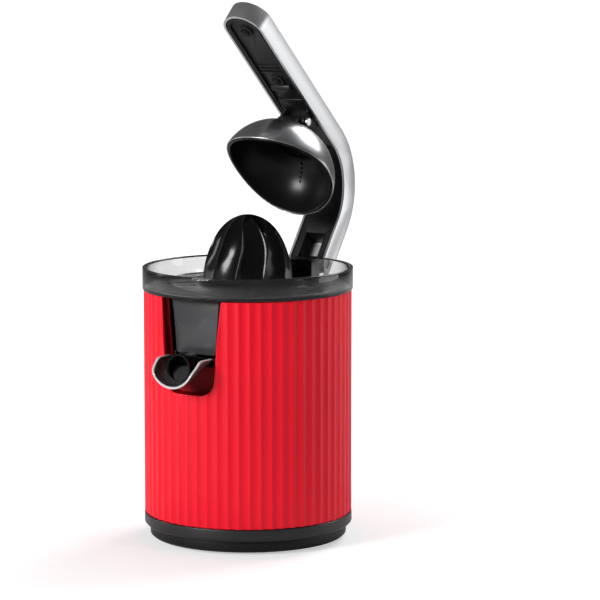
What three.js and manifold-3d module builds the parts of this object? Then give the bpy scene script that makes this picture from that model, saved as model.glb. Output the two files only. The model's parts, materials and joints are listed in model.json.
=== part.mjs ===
// Citrus press juicer: a fluted motor base with a lift-off juice collector, a geared reamer cone and a
// hinged pressing arm. Millimetres, +Z up, spout towards -Y, origin on the cone's axis at floor level.
// The arm is drawn closed, in a group on its hinge that is then swung open.

import * as THREE from 'three';
import { mergeVertices } from 'three/addons/utils/BufferGeometryUtils.js';
import Module from 'manifold-3d';

const wasm = await Module();
wasm.setup();

// ---- driving dimensions -------------------------------------------------------------------------

const GAP = 0.3; // between pieces that touch on the real object
const ROUND = 64; // segments of a large circle that shows
const HIDDEN = 32; // segments of a circle inside the casing
const SMALL = 16; // segments of a pin, screw or boss

const FLOOR_TO_PLATE = 1.8; // how far the feet stand out of the base plate
const BASE = { plateTop: 5, ringBottom: 11.3, ringTop: 21, radius: 84.2, footCircle: 62, screwCircle: 69 };
const SHELL = { bottom: 21.3, top: 202, radius: 84.2, inner: 80.6, flutes: 60, fluteDepth: 1.1 };
const BAY = { topHalf: 28.4, midHalf: 24.6, midHeight: 158, bottom: 127, corner: 12, wall: 2.2, back: -70.4 };
const DECK = { bottom: 180, top: 184, radius: 80.2, bossRadius: 11, bossTop: 199 };
const BOWL = {
  bottom: 186.3, floor: 189, step: 202.3, ledge: 204.5, top: 220.5,
  lowerRadius: 79.8, radius: 85, wall: 3, hubInner: 12, hubOuter: 14.5, hubTop: 204,
};
const CHUTE = { front: -71.5, back: -48, bottom: 158, wall: 2.5, topHalf: 22.3, bottomHalf: 18.6, sideHalf: 23.2 };
const SPOUT = {
  lip: -105.5, rear: -58, half: 21, wall: 1.8, lipBottom: 134.5, top: 157, sideTop: 154.5,
  steepEnd: -84, steep: 0.74, gentle: 0.08, pinY: -66, pinZ: 153.2, pin: 1.8,
};
const CONE = { bottom: 205, top: 262.5, radius: 36, ribs: 10, ribDepth: 0.13, boreTop: 237 };
const SPINDLE = { radius: 4, bottom: 125.5, top: 236 };
const GEARBOX = { bottom: 108, top: 140, wall: 2.5, layY: 35, mainRadius: 30, layRadius: 33.5 };
const MOTOR = { radius: 30, bottom: 45, top: 105, shaftRadius: 2.5 };
const HINGE = { y: 91, z: 212, pin: 3, tongueHalf: 8.2, knuckle: 7.5, openAngle: 46 };
const ARM = {
  half: 18, wall: 2, bendY: -63.9, bendZ: 27.4, inner: 48.5, outer: 64.8,
  legLean: 11, handleDrop: 3, reach: 162, endY: -0.83, endZ: -0.16,
};
const DOME = { radius: 48, height: 46.5, sheet: 1.2, cupWall: 2, rimRise: 9, pinY: -13.1, pinZ: 48.7, barrel: 4.6 };

const COLOURS = {
  red: { color: 0xc8101f, roughness: 0.3, metalness: 0 },
  graphite: { color: 0x3a3b3d, roughness: 0.35, metalness: 0 },
  black: { color: 0x141414, roughness: 0.35, metalness: 0 },
  smoked: { color: 0x4a4c4e, roughness: 0.1, metalness: 0 },
  silver: { color: 0xc8c9cb, roughness: 0.35, metalness: 0.9 },
  steel: { color: 0x9a9da0, roughness: 0.2, metalness: 1 },
  rubber: { color: 0x1c1c1c, roughness: 0.8, metalness: 0 },
  nylon: { color: 0xe6e2d6, roughness: 0.5, metalness: 0 },
  copper: { color: 0xb87333, roughness: 0.4, metalness: 0.8 },
  board: { color: 0x1f6b3a, roughness: 0.6, metalness: 0 },
};

const degrees = THREE.MathUtils.degToRad;

// ---- solids -------------------------------------------------------------------------------------

function solid(geometry) {
  geometry.deleteAttribute('normal');
  geometry.deleteAttribute('uv');
  const merged = mergeVertices(geometry, 1e-4);
  const triVerts = Uint32Array.from(merged.index.array);
  const vertProperties = Float32Array.from(merged.attributes.position.array);
  const body = new wasm.Manifold(new wasm.Mesh({ numProp: 3, vertProperties, triVerts }));
  if (body.volume() > 0) return body;
  for (let i = 0; i < triVerts.length; i += 3) [triVerts[i], triVerts[i + 1]] = [triVerts[i + 1], triVerts[i]];
  return new wasm.Manifold(new wasm.Mesh({ numProp: 3, vertProperties, triVerts }));
}

function union(...bodies) {
  return bodies.flat().reduce((sum, body) => sum.add(body));
}

function box(x0, x1, y0, y1, z0, z1) {
  const block = new THREE.BoxGeometry(x1 - x0, y1 - y0, z1 - z0);
  return solid(block.translate((x0 + x1) / 2, (y0 + y1) / 2, (z0 + z1) / 2));
}

// An upright cylinder or cone frustum between two heights.
function rod(radius, z0, z1, x = 0, y = 0, segments = SMALL, topRadius = radius) {
  const cylinder = new THREE.CylinderGeometry(topRadius, radius, z1 - z0, segments);
  return solid(cylinder.rotateX(Math.PI / 2).translate(x, y, (z0 + z1) / 2));
}

// A cylinder along X between two X values.
function crossRod(radius, x0, x1, y, z, segments = SMALL) {
  const cylinder = new THREE.CylinderGeometry(radius, radius, x1 - x0, segments);
  return solid(cylinder.rotateZ(Math.PI / 2).translate((x0 + x1) / 2, y, z));
}

// A solid of revolution about Z. The outline is a list of [radius, height].
function turned(outline, segments = ROUND) {
  const points = [...outline, outline[0]].map(([r, z]) => new THREE.Vector2(r, z));
  return solid(new THREE.LatheGeometry(points, segments).rotateX(Math.PI / 2));
}

// A filled solid of revolution: the outline starts and ends on the axis.
function turnedCore(outline, segments = ROUND) {
  const points = outline.map(([r, z]) => new THREE.Vector2(r, z));
  return solid(new THREE.LatheGeometry(points, segments).rotateX(Math.PI / 2));
}

function extrude(shape, depth, curveSegments = 12) {
  return new THREE.ExtrudeGeometry(shape, { depth, bevelEnabled: false, curveSegments });
}

// A shape drawn in (X, Y), extruded up from z0 to z1.
function extrudeZ(shape, z0, z1, curveSegments) {
  return solid(extrude(shape, z1 - z0, curveSegments).translate(0, 0, z0));
}

// A shape drawn in (Y, Z), extruded along X.
function extrudeX(shape, x0, x1, curveSegments) {
  const turn = new THREE.Matrix4().makeBasis(
    new THREE.Vector3(0, 1, 0), new THREE.Vector3(0, 0, 1), new THREE.Vector3(1, 0, 0),
  );
  return solid(extrude(shape, x1 - x0, curveSegments).applyMatrix4(turn).translate(x0, 0, 0));
}

// A shape drawn in (X, Z), extruded along Y.
function extrudeY(shape, y0, y1, curveSegments) {
  const turn = new THREE.Matrix4().makeBasis(
    new THREE.Vector3(1, 0, 0), new THREE.Vector3(0, 0, 1), new THREE.Vector3(0, -1, 0),
  );
  return solid(extrude(shape, y1 - y0, curveSegments).applyMatrix4(turn).translate(0, y1, 0));
}

function polygon(points) {
  return new THREE.Shape(points.map(([x, y]) => new THREE.Vector2(x, y)));
}

function aroundAxis(count, start, make) {
  return Array.from({ length: count }, (_, i) => make(start + (i * 2 * Math.PI) / count, i));
}

// ---- scene graph --------------------------------------------------------------------------------

const juicer = new THREE.Group();
const arm = new THREE.Group();
arm.position.set(0, HINGE.y, HINGE.z);
arm.rotation.x = -degrees(HINGE.openAngle);
const dome = new THREE.Group();
dome.position.set(0, -HINGE.y, 230 - HINGE.z);
arm.add(dome);
juicer.add(arm);

function piece(name, body, finish, parent = juicer) {
  const { vertProperties, triVerts } = body.getMesh();
  const geometry = new THREE.BufferGeometry();
  geometry.setAttribute('position', new THREE.BufferAttribute(Float32Array.from(vertProperties), 3));
  geometry.setIndex(new THREE.BufferAttribute(Uint32Array.from(triVerts), 1));
  geometry.computeVertexNormals();
  const mesh = new THREE.Mesh(geometry, new THREE.MeshStandardMaterial(COLOURS[finish]));
  mesh.name = name;
  parent.add(mesh);
}

// ---- base ---------------------------------------------------------------------------------------

function basePlate() {
  const tub = turnedCore([
    [0, FLOOR_TO_PLATE], [77.5, FLOOR_TO_PLATE], [79.5, 3.5], [80, 11], [76.5, 11], [76.5, BASE.plateTop],
    [0, BASE.plateTop],
  ]);
  const bosses = [];
  const cuts = [];
  for (const [x, y] of cornerSpots(BASE.screwCircle, 0)) {
    bosses.push(rod(5, BASE.plateTop - 1, 11, x, y, 12));
    cuts.push(rod(1.9, 0, 12, x, y, 8), rod(4, 0, 4.6, x, y, 12));
  }
  for (const [x, y] of cornerSpots(BASE.footCircle, Math.PI / 4)) cuts.push(rod(9.3, 0, 3.3, x, y));
  return union(tub, bosses).subtract(union(cuts));
}

// Four spots on a circle, a quarter turn apart.
function cornerSpots(radius, start) {
  return aroundAxis(4, start, (angle) => [radius * Math.cos(angle), radius * Math.sin(angle)]);
}

piece('base_plate', basePlate(), 'black');

cornerSpots(BASE.footCircle, Math.PI / 4).forEach(([x, y], i) => {
  const foot = union(rod(9, 0.8, 3, x, y), rod(8.2, 0, 0.8, x, y, SMALL, 9));
  piece(`foot_${i + 1}`, foot, 'rubber');
});

cornerSpots(BASE.screwCircle, 0).forEach(([x, y], i) => {
  const screw = union(rod(3.6, 2.2, 4.3, x, y, 12), rod(1.5, 4, 18.6, x, y, 8));
  piece(`base_screw_${i + 1}`, screw.subtract(box(x - 2.4, x + 2.4, y - 0.4, y + 0.4, 2, 3)), 'steel');
});

function baseRing() {
  const ring = turned([
    [62, BASE.ringBottom], [82.6, BASE.ringBottom], [BASE.radius, 13], [BASE.radius, BASE.ringTop],
    [62, BASE.ringTop],
  ]);
  const pilots = cornerSpots(BASE.screwCircle, 0).map(([x, y]) => rod(1.9, 11, 19, x, y, 8));
  return ring.subtract(union(pilots));
}

piece('base_ring', baseRing(), 'graphite');

// ---- body shell ---------------------------------------------------------------------------------

// Concave flutes meeting in sharp ridges.
function fluteOutline(steps) {
  const outline = [];
  for (let i = 0; i < SHELL.flutes * steps; i += 1) {
    const across = (i % steps) / steps;
    const radius = SHELL.radius - SHELL.fluteDepth * 4 * across * (1 - across);
    const angle = (i * 2 * Math.PI) / (SHELL.flutes * steps);
    outline.push([radius * Math.cos(angle), radius * Math.sin(angle)]);
  }
  return outline;
}

// The recess's outline in (X, Z), wider at the top, round at the bottom; margin makes it larger.
function bayShape(margin, top) {
  const { topHalf, midHalf, midHeight, bottom, corner } = BAY;
  const lean = (topHalf - midHalf) / (SHELL.top - midHeight);
  const upper = topHalf + lean * (top - SHELL.top) + margin;
  const lower = midHalf - lean * (midHeight - bottom - corner) + margin;
  const radius = corner + margin;
  const shape = new THREE.Shape();
  shape.moveTo(upper, top);
  shape.lineTo(-upper, top);
  shape.lineTo(-lower, bottom + corner);
  shape.absarc(-lower + radius, bottom + corner, radius, Math.PI, 1.5 * Math.PI, false);
  shape.absarc(lower - radius, bottom + corner, radius, 1.5 * Math.PI, 2 * Math.PI, false);
  shape.closePath();
  return shape;
}

// Height of the spout's underside: it falls steeply towards the lip.
function spoutFloor(y) {
  const { lip, lipBottom, steepEnd, steep, gentle } = SPOUT;
  return lipBottom + steep * (Math.min(y, steepEnd) - lip) + gentle * Math.max(0, y - steepEnd);
}

function bodyShell() {
  const skin = polygon(fluteOutline(3));
  const tube = extrudeZ(skin, SHELL.bottom, SHELL.top)
    .subtract(rod(SHELL.inner, 0, 300, 0, 0, ROUND));
  const keepIn = rod(SHELL.radius - SHELL.fluteDepth, SHELL.bottom, SHELL.top, 0, 0, ROUND);
  const liner = extrudeY(bayShape(BAY.wall, SHELL.top), -SHELL.radius, BAY.back).intersect(keepIn);
  const hollow = extrudeY(bayShape(0, SHELL.top + 5), -90, BAY.back - 1.6);
  const chuteWay = extrudeY(bayShape(0, SHELL.top + 5), -90, -60)
    .intersect(box(-60, 60, -100, -50, spoutFloor(BAY.back) - 1.7, 300));
  const gland = solid(new THREE.CylinderGeometry(5.3, 5.3, 20, SMALL).translate(0, 80, 34));
  return tube.add(liner).subtract(union(hollow, chuteWay, gland));
}

piece('body_shell', bodyShell(), 'red');

function cordGland() {
  const barrel = new THREE.LatheGeometry(
    [[3.6, 74], [5, 74], [5, 84.5], [8, 84.5], [7.2, 87], [3.6, 87], [3.6, 74]]
      .map(([r, y]) => new THREE.Vector2(r, y)), SMALL,
  );
  return solid(barrel.translate(0, 0, 34));
}

piece('cord_gland', cordGland(), 'rubber');

// ---- motor bay ----------------------------------------------------------------------------------

const POSTS = [[-21, -14], [21, -14], [0, 60]];

function innerDeck() {
  const plate = turned([
    [SPINDLE.radius + 0.4, DECK.bottom], [DECK.radius, DECK.bottom], [DECK.radius, DECK.top],
    [DECK.bossRadius, DECK.top], [DECK.bossRadius, DECK.bossTop], [SPINDLE.radius + 0.4, DECK.bossTop],
  ]);
  const posts = POSTS.map(([x, y]) => rod(4.5, GEARBOX.top + 4 + GAP, DECK.bottom + 1, x, y, 12));
  const holes = POSTS.map(([x, y]) => rod(1.6, 140, 164, x, y, 8));
  const chuteNotch = box(-25, 25, -90, CHUTE.back + 1.5, 170, 190);
  const bayNotch = box(-29.5, 29.5, -90, BAY.back + 0.6, 170, 190);
  return plate.add(union(posts)).subtract(union(chuteNotch, bayNotch, holes));
}

piece('inner_deck', innerDeck(), 'black');

piece('shaft_seal', turned([[4.4, 199.3], [10, 199.3], [10, 201.4], [4.4, 202.4]], 20), 'rubber');

// The gearbox's plan: a circle round the spindle blended into one round the layshaft.
function gearboxPlan(grow) {
  const shape = new THREE.Shape();
  const main = GEARBOX.mainRadius + grow;
  const lay = GEARBOX.layRadius + grow;
  const tangent = Math.asin((lay - main) / GEARBOX.layY);
  shape.absarc(0, 0, main, Math.PI + tangent, 2 * Math.PI - tangent, false);
  shape.absarc(0, GEARBOX.layY, lay, -tangent, Math.PI + tangent, false);
  shape.closePath();
  return shape;
}

function gearboxHousing() {
  const { bottom, top, wall, layY } = GEARBOX;
  const tub = extrudeZ(gearboxPlan(wall), bottom, top).subtract(extrudeZ(gearboxPlan(0), bottom + 3, top + 1));
  return tub.subtract(union(rod(6.5, 100, 115), rod(2.3, 100, 115, 0, layY, 16)));
}

function gearboxCover() {
  const { top, layY, wall } = GEARBOX;
  const plate = extrudeZ(gearboxPlan(wall), top + GAP, top + 4);
  const holes = POSTS.map(([x, y]) => rod(1.9, 130, 150, x, y, 8));
  const bores = [rod(7.3, 130, 150), rod(2.3, 130, 150, 0, layY, 16)];
  return plate.subtract(union(holes, bores));
}

piece('gearbox_housing', gearboxHousing(), 'black');
piece('gearbox_cover', gearboxCover(), 'black');

POSTS.forEach(([x, y], i) => {
  const screw = union(rod(3.2, 137.6, 140, x, y, 10), rod(1.2, 139, 162, x, y, 8));
  piece(`gearbox_screw_${i + 1}`, screw, 'steel');
});

const BUSH = [[4.3, 138], [7, 138], [7, 144.3], [10, 144.3], [10, 147], [4.3, 147]];
piece('spindle_bush', turned(BUSH, 20), 'copper');

function motorCan() {
  const { radius, bottom, top } = MOTOR;
  const cup = turnedCore([[0, bottom], [radius, bottom], [radius, top], [0, top]], HIDDEN);
  const inside = rod(radius - 1.5, bottom - 1, top - 2, 0, 0, HIDDEN);
  return cup.subtract(union(inside, rod(3.2, 90, 120)));
}

piece('motor_can', motorCan(), 'steel');
piece('motor_end_cap', turned([[3.2, 41], [30, 41], [30, 44.7], [3.2, 44.7]], HIDDEN), 'black');
piece('stator', turned([[19, 55], [28.1, 55], [28.1, 95], [19, 95]], HIDDEN), 'copper');
piece('motor_shaft', rod(MOTOR.shaftRadius, 34, 121.2, 0, 0, 20), 'steel');
piece('rotor_core', turned([[2.8, 57], [18.4, 57], [18.4, 93], [2.8, 93]], 24), 'steel');

function coolingFan() {
  const hub = rod(7, 33, 39.5);
  const disc = rod(25, 37.5, 39.5, 0, 0, 24);
  const blades = aroundAxis(7, 0, (angle) => box(6, 24.5, -0.8, 0.8, 31, 38).rotate([0, 0, (angle * 180) / Math.PI]));
  return union(hub, disc, blades).subtract(rod(2.8, 20, 60));
}

piece('cooling_fan', coolingFan(), 'nylon');

// A spur gear: straight-flanked teeth with backlash, one tooth centred on the angle phase.
function gearShape(teeth, module, phase) {
  const pitch = (teeth * module) / 2;
  const root = pitch - 1.2 * module;
  const tip = pitch + 0.85 * module;
  const step = (2 * Math.PI) / teeth;
  const corners = [[-0.31, root], [-0.1, tip], [0.1, tip], [0.31, root]];
  const outline = [];
  for (let i = 0; i < teeth; i += 1) {
    for (const [share, radius] of corners) {
      const angle = phase + (i + share) * step;
      outline.push([radius * Math.cos(angle), radius * Math.sin(angle)]);
    }
  }
  return polygon(outline);
}

const STAGE_1 = { module: 1, pinion: 10, wheel: 60 };
const STAGE_2 = { module: 1.25, pinion: 14, wheel: 42 };

function layshaftGear() {
  const { layY } = GEARBOX;
  const wheel = extrudeZ(gearShape(STAGE_1.wheel, STAGE_1.module, -Math.PI / 2 + Math.PI / STAGE_1.wheel), 113.5, 119.5);
  const pinion = extrudeZ(gearShape(STAGE_2.pinion, STAGE_2.module, -Math.PI / 2 + Math.PI / STAGE_2.pinion), 119, 136.5);
  return wheel.add(pinion).subtract(rod(2.3, 100, 150, 0, 0, 16)).translate([0, layY, 0]);
}

piece('layshaft', rod(2, 108.5, 143.8, 0, GEARBOX.layY, 16), 'steel');
piece('layshaft_gear', layshaftGear(), 'nylon');

const MOTOR_PINION = extrudeZ(gearShape(STAGE_1.pinion, STAGE_1.module, Math.PI / 2), 113, 121);
piece('motor_pinion', MOTOR_PINION.subtract(rod(2.8, 100, 150, 0, 0, 16)), 'steel');

const OUTPUT_GEAR = extrudeZ(gearShape(STAGE_2.wheel, STAGE_2.module, Math.PI / 2), 127.5, 134.5);
piece('output_gear', OUTPUT_GEAR.subtract(rod(SPINDLE.radius + GAP, 100, 150, 0, 0, 20)), 'nylon');

function outputShaft() {
  const { radius, bottom, top } = SPINDLE;
  return union(rod(radius, bottom, top), rod(6.5, 169.3, 171.5));
}

piece('output_shaft', outputShaft(), 'steel');

piece('thrust_collar', turned([[4.3, 165.5], [14, 165.5], [14, 169], [4.3, 169]], 20), 'nylon');

function returnSpring() {
  const turns = 4;
  const points = Array.from({ length: turns * 12 + 1 }, (_, i) => {
    const angle = (i * Math.PI) / 6;
    return new THREE.Vector3(7.2 * Math.cos(angle), 7.2 * Math.sin(angle), 148.3 + (i * 15.9) / (turns * 12));
  });
  const wire = new THREE.Shape().absarc(0, 0, 0.8, 0, 2 * Math.PI);
  const path = new THREE.CatmullRomCurve3(points);
  const options = { steps: turns * 14, extrudePath: path, bevelEnabled: false, curveSegments: 3 };
  return solid(new THREE.ExtrudeGeometry(wire, options));
}

piece('return_spring', returnSpring(), 'steel');

function microSwitch() {
  const body = box(10.4, 28, -4, 4, 144.3, 160);
  return body.subtract(rod(1.6, 155, 161, 12.4, 0, 16));
}

piece('micro_switch', microSwitch(), 'black');
piece('switch_plunger', rod(1.2, 158.5, 165.2, 12.4, 0, 16), 'nylon');
piece('control_board', box(-22, 22, 50, 51.6, 5.4, 42), 'board');

// ---- juice collector, sieve and spout -----------------------------------------------------------

function chuteBlock(y0, y1) {
  const { topHalf, bottomHalf, bottom } = CHUTE;
  return extrudeY(polygon([
    [-topHalf, BOWL.step], [-bottomHalf, bottom], [bottomHalf, bottom], [topHalf, BOWL.step],
  ]), y0, y1);
}

function juiceCollector() {
  const { bottom, floor, step, ledge, top, lowerRadius, radius, wall } = BOWL;
  const { front, back, sideHalf } = CHUTE;
  const rim = 0.8;
  const bayHalf = BAY.topHalf + BAY.wall + 0.6;
  const bayBack = BAY.back + 0.6;
  const notch = { half: 19.5, front: 62, wall: 2.5 };
  const outside = turnedCore([
    [0, bottom], [lowerRadius, bottom], [lowerRadius, step], [radius, step], [radius, top - rim],
    [radius - rim, top], [0, top],
  ]);
  const inside = turnedCore([
    [0, floor], [lowerRadius - wall + 0.5, floor], [lowerRadius - wall + 0.5, ledge], [radius - wall, ledge],
    [radius - wall, top + 1], [0, top + 1],
  ]);
  const bowl = outside
    .subtract(box(-bayHalf, bayHalf, -90, bayBack, 150, step))
    .add(chuteBlock(front, back))
    .add(box(-sideHalf, sideHalf, -67, back, CHUTE.bottom, bottom + 1));
  const cheeks = [-1, 1].map((side) => {
    const inner = side * (SPOUT.half + 0.4);
    const outer = side * sideHalf;
    return box(Math.min(inner, outer), Math.max(inner, outer), -69.5, -62.5, 150, CHUTE.bottom + 1);
  });
  const cavity = inside
    .subtract(box(-bayHalf - 2.5, bayHalf + 2.5, -90, bayBack + 2.5, 150, ledge))
    .subtract(box(-notch.half - notch.wall, notch.half + notch.wall, notch.front - notch.wall, 90, 150, 230));
  const duct = box(-17.5, 17.5, front + CHUTE.wall, back - CHUTE.wall, 150, floor + 1);
  const hub = rod(BOWL.hubOuter, bottom, BOWL.hubTop, 0, 0, 48);
  const cuts = union(
    box(-notch.half, notch.half, notch.front, 90, 150, 230),
    rod(BOWL.hubInner, 150, 230, 0, 0, 48),
    crossRod(SPOUT.pin + GAP, -30, 30, SPOUT.pinY, SPOUT.pinZ),
  );
  return union(bowl, cheeks).subtract(cavity).subtract(duct).add(hub).subtract(cuts);
}

piece('juice_collector', juiceCollector(), 'smoked');

function pulpSieve() {
  const dish = turned([
    [15.2, 200.6], [43, 200.6], [66, 204.8], [81.5, 204.8], [81.5, 206], [65.8, 206], [43, 201.8], [15.2, 201.8],
  ], 48);
  const slots = aroundAxis(20, 0, (angle) => slot(47, 74, angle));
  const towerNotch = box(-22.5, 22.5, 59, 90, 190, 220);
  return dish.subtract(union(slots, towerNotch));
}

// A radial slot right through the sieve.
function slot(from, to, angle) {
  return box(from, to, -0.9, 0.9, 195, 210).rotate([0, 0, (angle * 180) / Math.PI]);
}

piece('pulp_sieve', pulpSieve(), 'black');

// A trough along Y with a half-round section, squashed towards its top where the floor is high.
function trough(half, inset, y0, y1) {
  const { top, lipBottom } = SPOUT;
  const depth = top - lipBottom;
  const section = new THREE.Shape();
  section.moveTo(half, depth + 10);
  section.lineTo(-half, depth + 10);
  section.lineTo(-half, half);
  section.absellipse(0, half, half, half, Math.PI, 2 * Math.PI, false);
  section.closePath();
  const steps = 10;
  const body = new THREE.ExtrudeGeometry(section, { depth: y1 - y0, steps, bevelEnabled: false, curveSegments: 9 });
  const spots = body.attributes.position;
  for (let i = 0; i < spots.count; i += 1) {
    const y = y1 - spots.getZ(i);
    const floor = spoutFloor(y) + inset;
    const share = spots.getY(i) / depth;
    spots.setXYZ(i, spots.getX(i), y, floor + share * (top - floor));
  }
  return solid(body);
}

function spout() {
  const { lip, rear, half, wall, top, sideTop, pinY, pinZ, pin } = SPOUT;
  const mouth = polygon([
    [lip - 20, 100], [lip, 130], [lip + 0.8, 147], [-94, top], [-79, top], [-77, sideTop], [rear + 9, sideTop],
    [rear + 9, 240], [lip - 20, 240],
  ]);
  const shell = trough(half, 0, lip, rear)
    .subtract(trough(half - wall, wall, lip - 5, rear + 5))
    .subtract(extrudeX(mouth, -40, 40));
  const pins = [-1, 1].map((side) => {
    const ends = [side * (half - 7), side * 22.9];
    return crossRod(pin, Math.min(...ends), Math.max(...ends), pinY, pinZ);
  });
  return union(shell, pins);
}

piece('spout', spout(), 'smoked');

// ---- reamer cone --------------------------------------------------------------------------------

// Radius of the smooth cone at a height, a full round form that closes at the tip.
function coneRadius(z) {
  const share = Math.min(1, (z - CONE.bottom) / (CONE.top - CONE.bottom));
  return CONE.radius * Math.sqrt(1 - share ** 2.23);
}

function juicingCone() {
  const rows = 8;
  const heights = Array.from({ length: rows + 1 }, (_, i) => {
    return CONE.bottom + 2 + (CONE.top - CONE.bottom - 2) * Math.sin((i * Math.PI) / (2 * rows));
  });
  const outline = heights.map((z) => new THREE.Vector2(coneRadius(z), z));
  outline[rows].x = 0;
  outline.unshift(new THREE.Vector2(0, CONE.bottom + 2));
  const skin = new THREE.LatheGeometry(outline, CONE.ribs * 6).rotateX(Math.PI / 2);
  const spots = skin.attributes.position;
  for (let i = 0; i < spots.count; i += 1) {
    const angle = Math.atan2(spots.getY(i), spots.getX(i));
    const hollow = Math.abs(Math.sin((angle * CONE.ribs) / 2)) ** 0.8;
    const scale = 1 - CONE.ribDepth * hollow;
    spots.setXY(i, spots.getX(i) * scale, spots.getY(i) * scale);
  }
  const flange = turnedCore([[0, CONE.bottom], [37, CONE.bottom], [37, 206.5], [35.5, 207.5], [0, 207.5]], 48);
  const hollow = turnedCore([[0, CONE.bottom - 1], [27.5, CONE.bottom - 1], [26, 225], [21, 240], [10, 250], [0, 251]], 24);
  const boss = rod(8, 208, 252, 0, 0, SMALL);
  const bore = rod(SPINDLE.radius + GAP, 190, CONE.boreTop, 0, 0, 20);
  return union(solid(skin), flange).subtract(hollow).add(boss).subtract(bore);
}

piece('juicing_cone', juicingCone(), 'black');

// ---- rear hinge ---------------------------------------------------------------------------------

function hingeBracket() {
  const { y, z, tongueHalf, knuckle, pin } = HINGE;
  const tower = box(-17, 17, 64.5, 77, DECK.top + GAP, 219);
  const tongue = box(-tongueHalf, tongueHalf, 76, y, z - knuckle, z + knuckle);
  const eye = crossRod(knuckle, -tongueHalf, tongueHalf, y, z, 32);
  return union(tower, tongue, eye).subtract(crossRod(pin + GAP, -30, 30, y, z));
}

piece('hinge_bracket', hingeBracket(), 'black');
piece('hinge_pin', crossRod(HINGE.pin, -17.7, 17.7, HINGE.y, HINGE.z), 'steel');

// ---- pressing arm, drawn closed about the hinge -------------------------------------------------

// Side outline of the arm in (Y, Z) about the hinge. The offsets move the underside and the top in.
function armOutline(under, over, end = 0) {
  const { bendY, bendZ, inner, outer, legLean, handleDrop, reach, endY, endZ } = ARM;
  const legAngle = degrees(legLean);
  const handleAngle = Math.PI / 2 + degrees(handleDrop);
  const along = [-Math.sin(handleAngle), Math.cos(handleAngle)];
  const tip = (radius) => [
    bendY + radius * Math.cos(handleAngle) + (reach - end) * along[0],
    bendZ + radius * Math.sin(handleAngle) + (reach - end) * along[1],
  ];
  const legEnd = (distance) => [endY + distance * Math.cos(legAngle), endZ + distance * Math.sin(legAngle)];
  const half = (outer - inner) / 2;
  const shape = new THREE.Shape();
  shape.moveTo(...legEnd(-(half - under)));
  shape.absarc(bendY, bendZ, inner + under, legAngle, handleAngle, false);
  shape.lineTo(...tip(inner + under));
  shape.lineTo(...tip(outer - over));
  shape.absarc(bendY, bendZ, outer - over, handleAngle, legAngle, true);
  shape.lineTo(...legEnd(half - over));
  shape.absarc(endY, endZ, half - Math.max(under, over), legAngle, legAngle - Math.PI, true);
  shape.closePath();
  return shape;
}

// A block seen from above with the arm's round tip; it spans all heights.
function tipPlan(half) {
  const { bendY, reach, half: fullHalf } = ARM;
  const centre = bendY - reach + fullHalf;
  const shape = new THREE.Shape();
  shape.moveTo(half, 60);
  shape.lineTo(-half, 60);
  shape.lineTo(-half, centre);
  shape.absarc(0, centre, half, Math.PI, 2 * Math.PI, false);
  shape.closePath();
  return extrudeZ(shape, -60, 140, 10);
}

const SLOT_HALF = 9.3;
const LINER_HALF = ARM.half - ARM.wall - GAP;
const LINER_SCREWS = [-206, -146];

function armShell() {
  const outside = extrudeX(armOutline(0, 0), -ARM.half, ARM.half, 9).intersect(tipPlan(ARM.half));
  const channel = extrudeX(armOutline(-20, ARM.wall), -ARM.half + ARM.wall, ARM.half - ARM.wall, 9)
    .intersect(tipPlan(ARM.half - ARM.wall));
  const legWay = box(-ARM.half + ARM.wall, ARM.half - ARM.wall, -40, 40, -40, 9.5);
  return outside.subtract(union(channel, legWay, crossRod(HINGE.pin + GAP, -30, 30, 0, 0)));
}

// Height of the handle's underside above the hinge, at a Y in the straight stretch.
function underside(y) {
  const drop = degrees(ARM.handleDrop);
  return ARM.bendZ + (ARM.inner + (y - ARM.bendY) * Math.sin(drop)) / Math.cos(drop);
}

function armLiner() {
  const recess = 0.8;
  const block = extrudeX(armOutline(recess, ARM.wall + GAP), -LINER_HALF, LINER_HALF, 9)
    .intersect(tipPlan(LINER_HALF));
  const hollow = extrudeX(armOutline(3.4, -10, 6), -12.5, 12.5, 9)
    .intersect(tipPlan(12.5))
    .subtract(box(-20, 20, -30, 30, -60, 32));
  const slotFront = box(-SLOT_HALF, SLOT_HALF, -40, 40, -40, 24);
  const pocket = box(-13, 13, -122, -88, underside(-105) - 6, underside(-105) + 4.6);
  const recesses = LINER_SCREWS.map((y) => rod(3.9, underside(y) - 4, underside(y) + 2.4, 0, y, 12));
  const pilots = LINER_SCREWS.map((y) => rod(1.9, underside(y), underside(y) + 30, 0, y, 8));
  const pillars = LINER_SCREWS.map((y) => rod(5.5, underside(y) + 1.2, underside(y) + 13.2, 0, y, 10));
  return block.subtract(hollow).add(union(pillars).intersect(block))
    .subtract(union(slotFront, pocket, recesses, pilots, crossRod(HINGE.pin + GAP, -30, 30, 0, 0)));
}

piece('arm_shell', armShell(), 'silver', arm);
piece('arm_liner', armLiner(), 'black', arm);

LINER_SCREWS.forEach((y, i) => {
  const z = underside(y);
  const screw = union(rod(3.3, z + 0.6, z + 2.1, 0, y, 12), rod(1.4, z + 2, z + 12, 0, y, 8));
  piece(`liner_screw_${i + 1}`, screw, 'steel', arm);
});

const PIN_Y = DOME.pinY - HINGE.y;
const PIN_Z = DOME.pinZ + 230 - HINGE.z;
const KNUCKLE_HALF = 9;

function domeBracket() {
  const seat = underside(-105) + 4.3;
  const plate = box(-12.6, 12.6, -121.6, -88.4, seat - 3.5, seat);
  const lugs = [-1, 1].map((side) => {
    const ends = [side * (KNUCKLE_HALF + GAP), side * 12.6];
    const [x0, x1] = [Math.min(...ends), Math.max(...ends)];
    return union(
      crossRod(DOME.barrel, x0, x1, PIN_Y, PIN_Z),
      box(x0, x1, PIN_Y - DOME.barrel, PIN_Y + DOME.barrel, PIN_Z, seat - 1),
    );
  });
  return union(plate, lugs).subtract(crossRod(2 + GAP, -30, 30, PIN_Y, PIN_Z));
}

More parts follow.
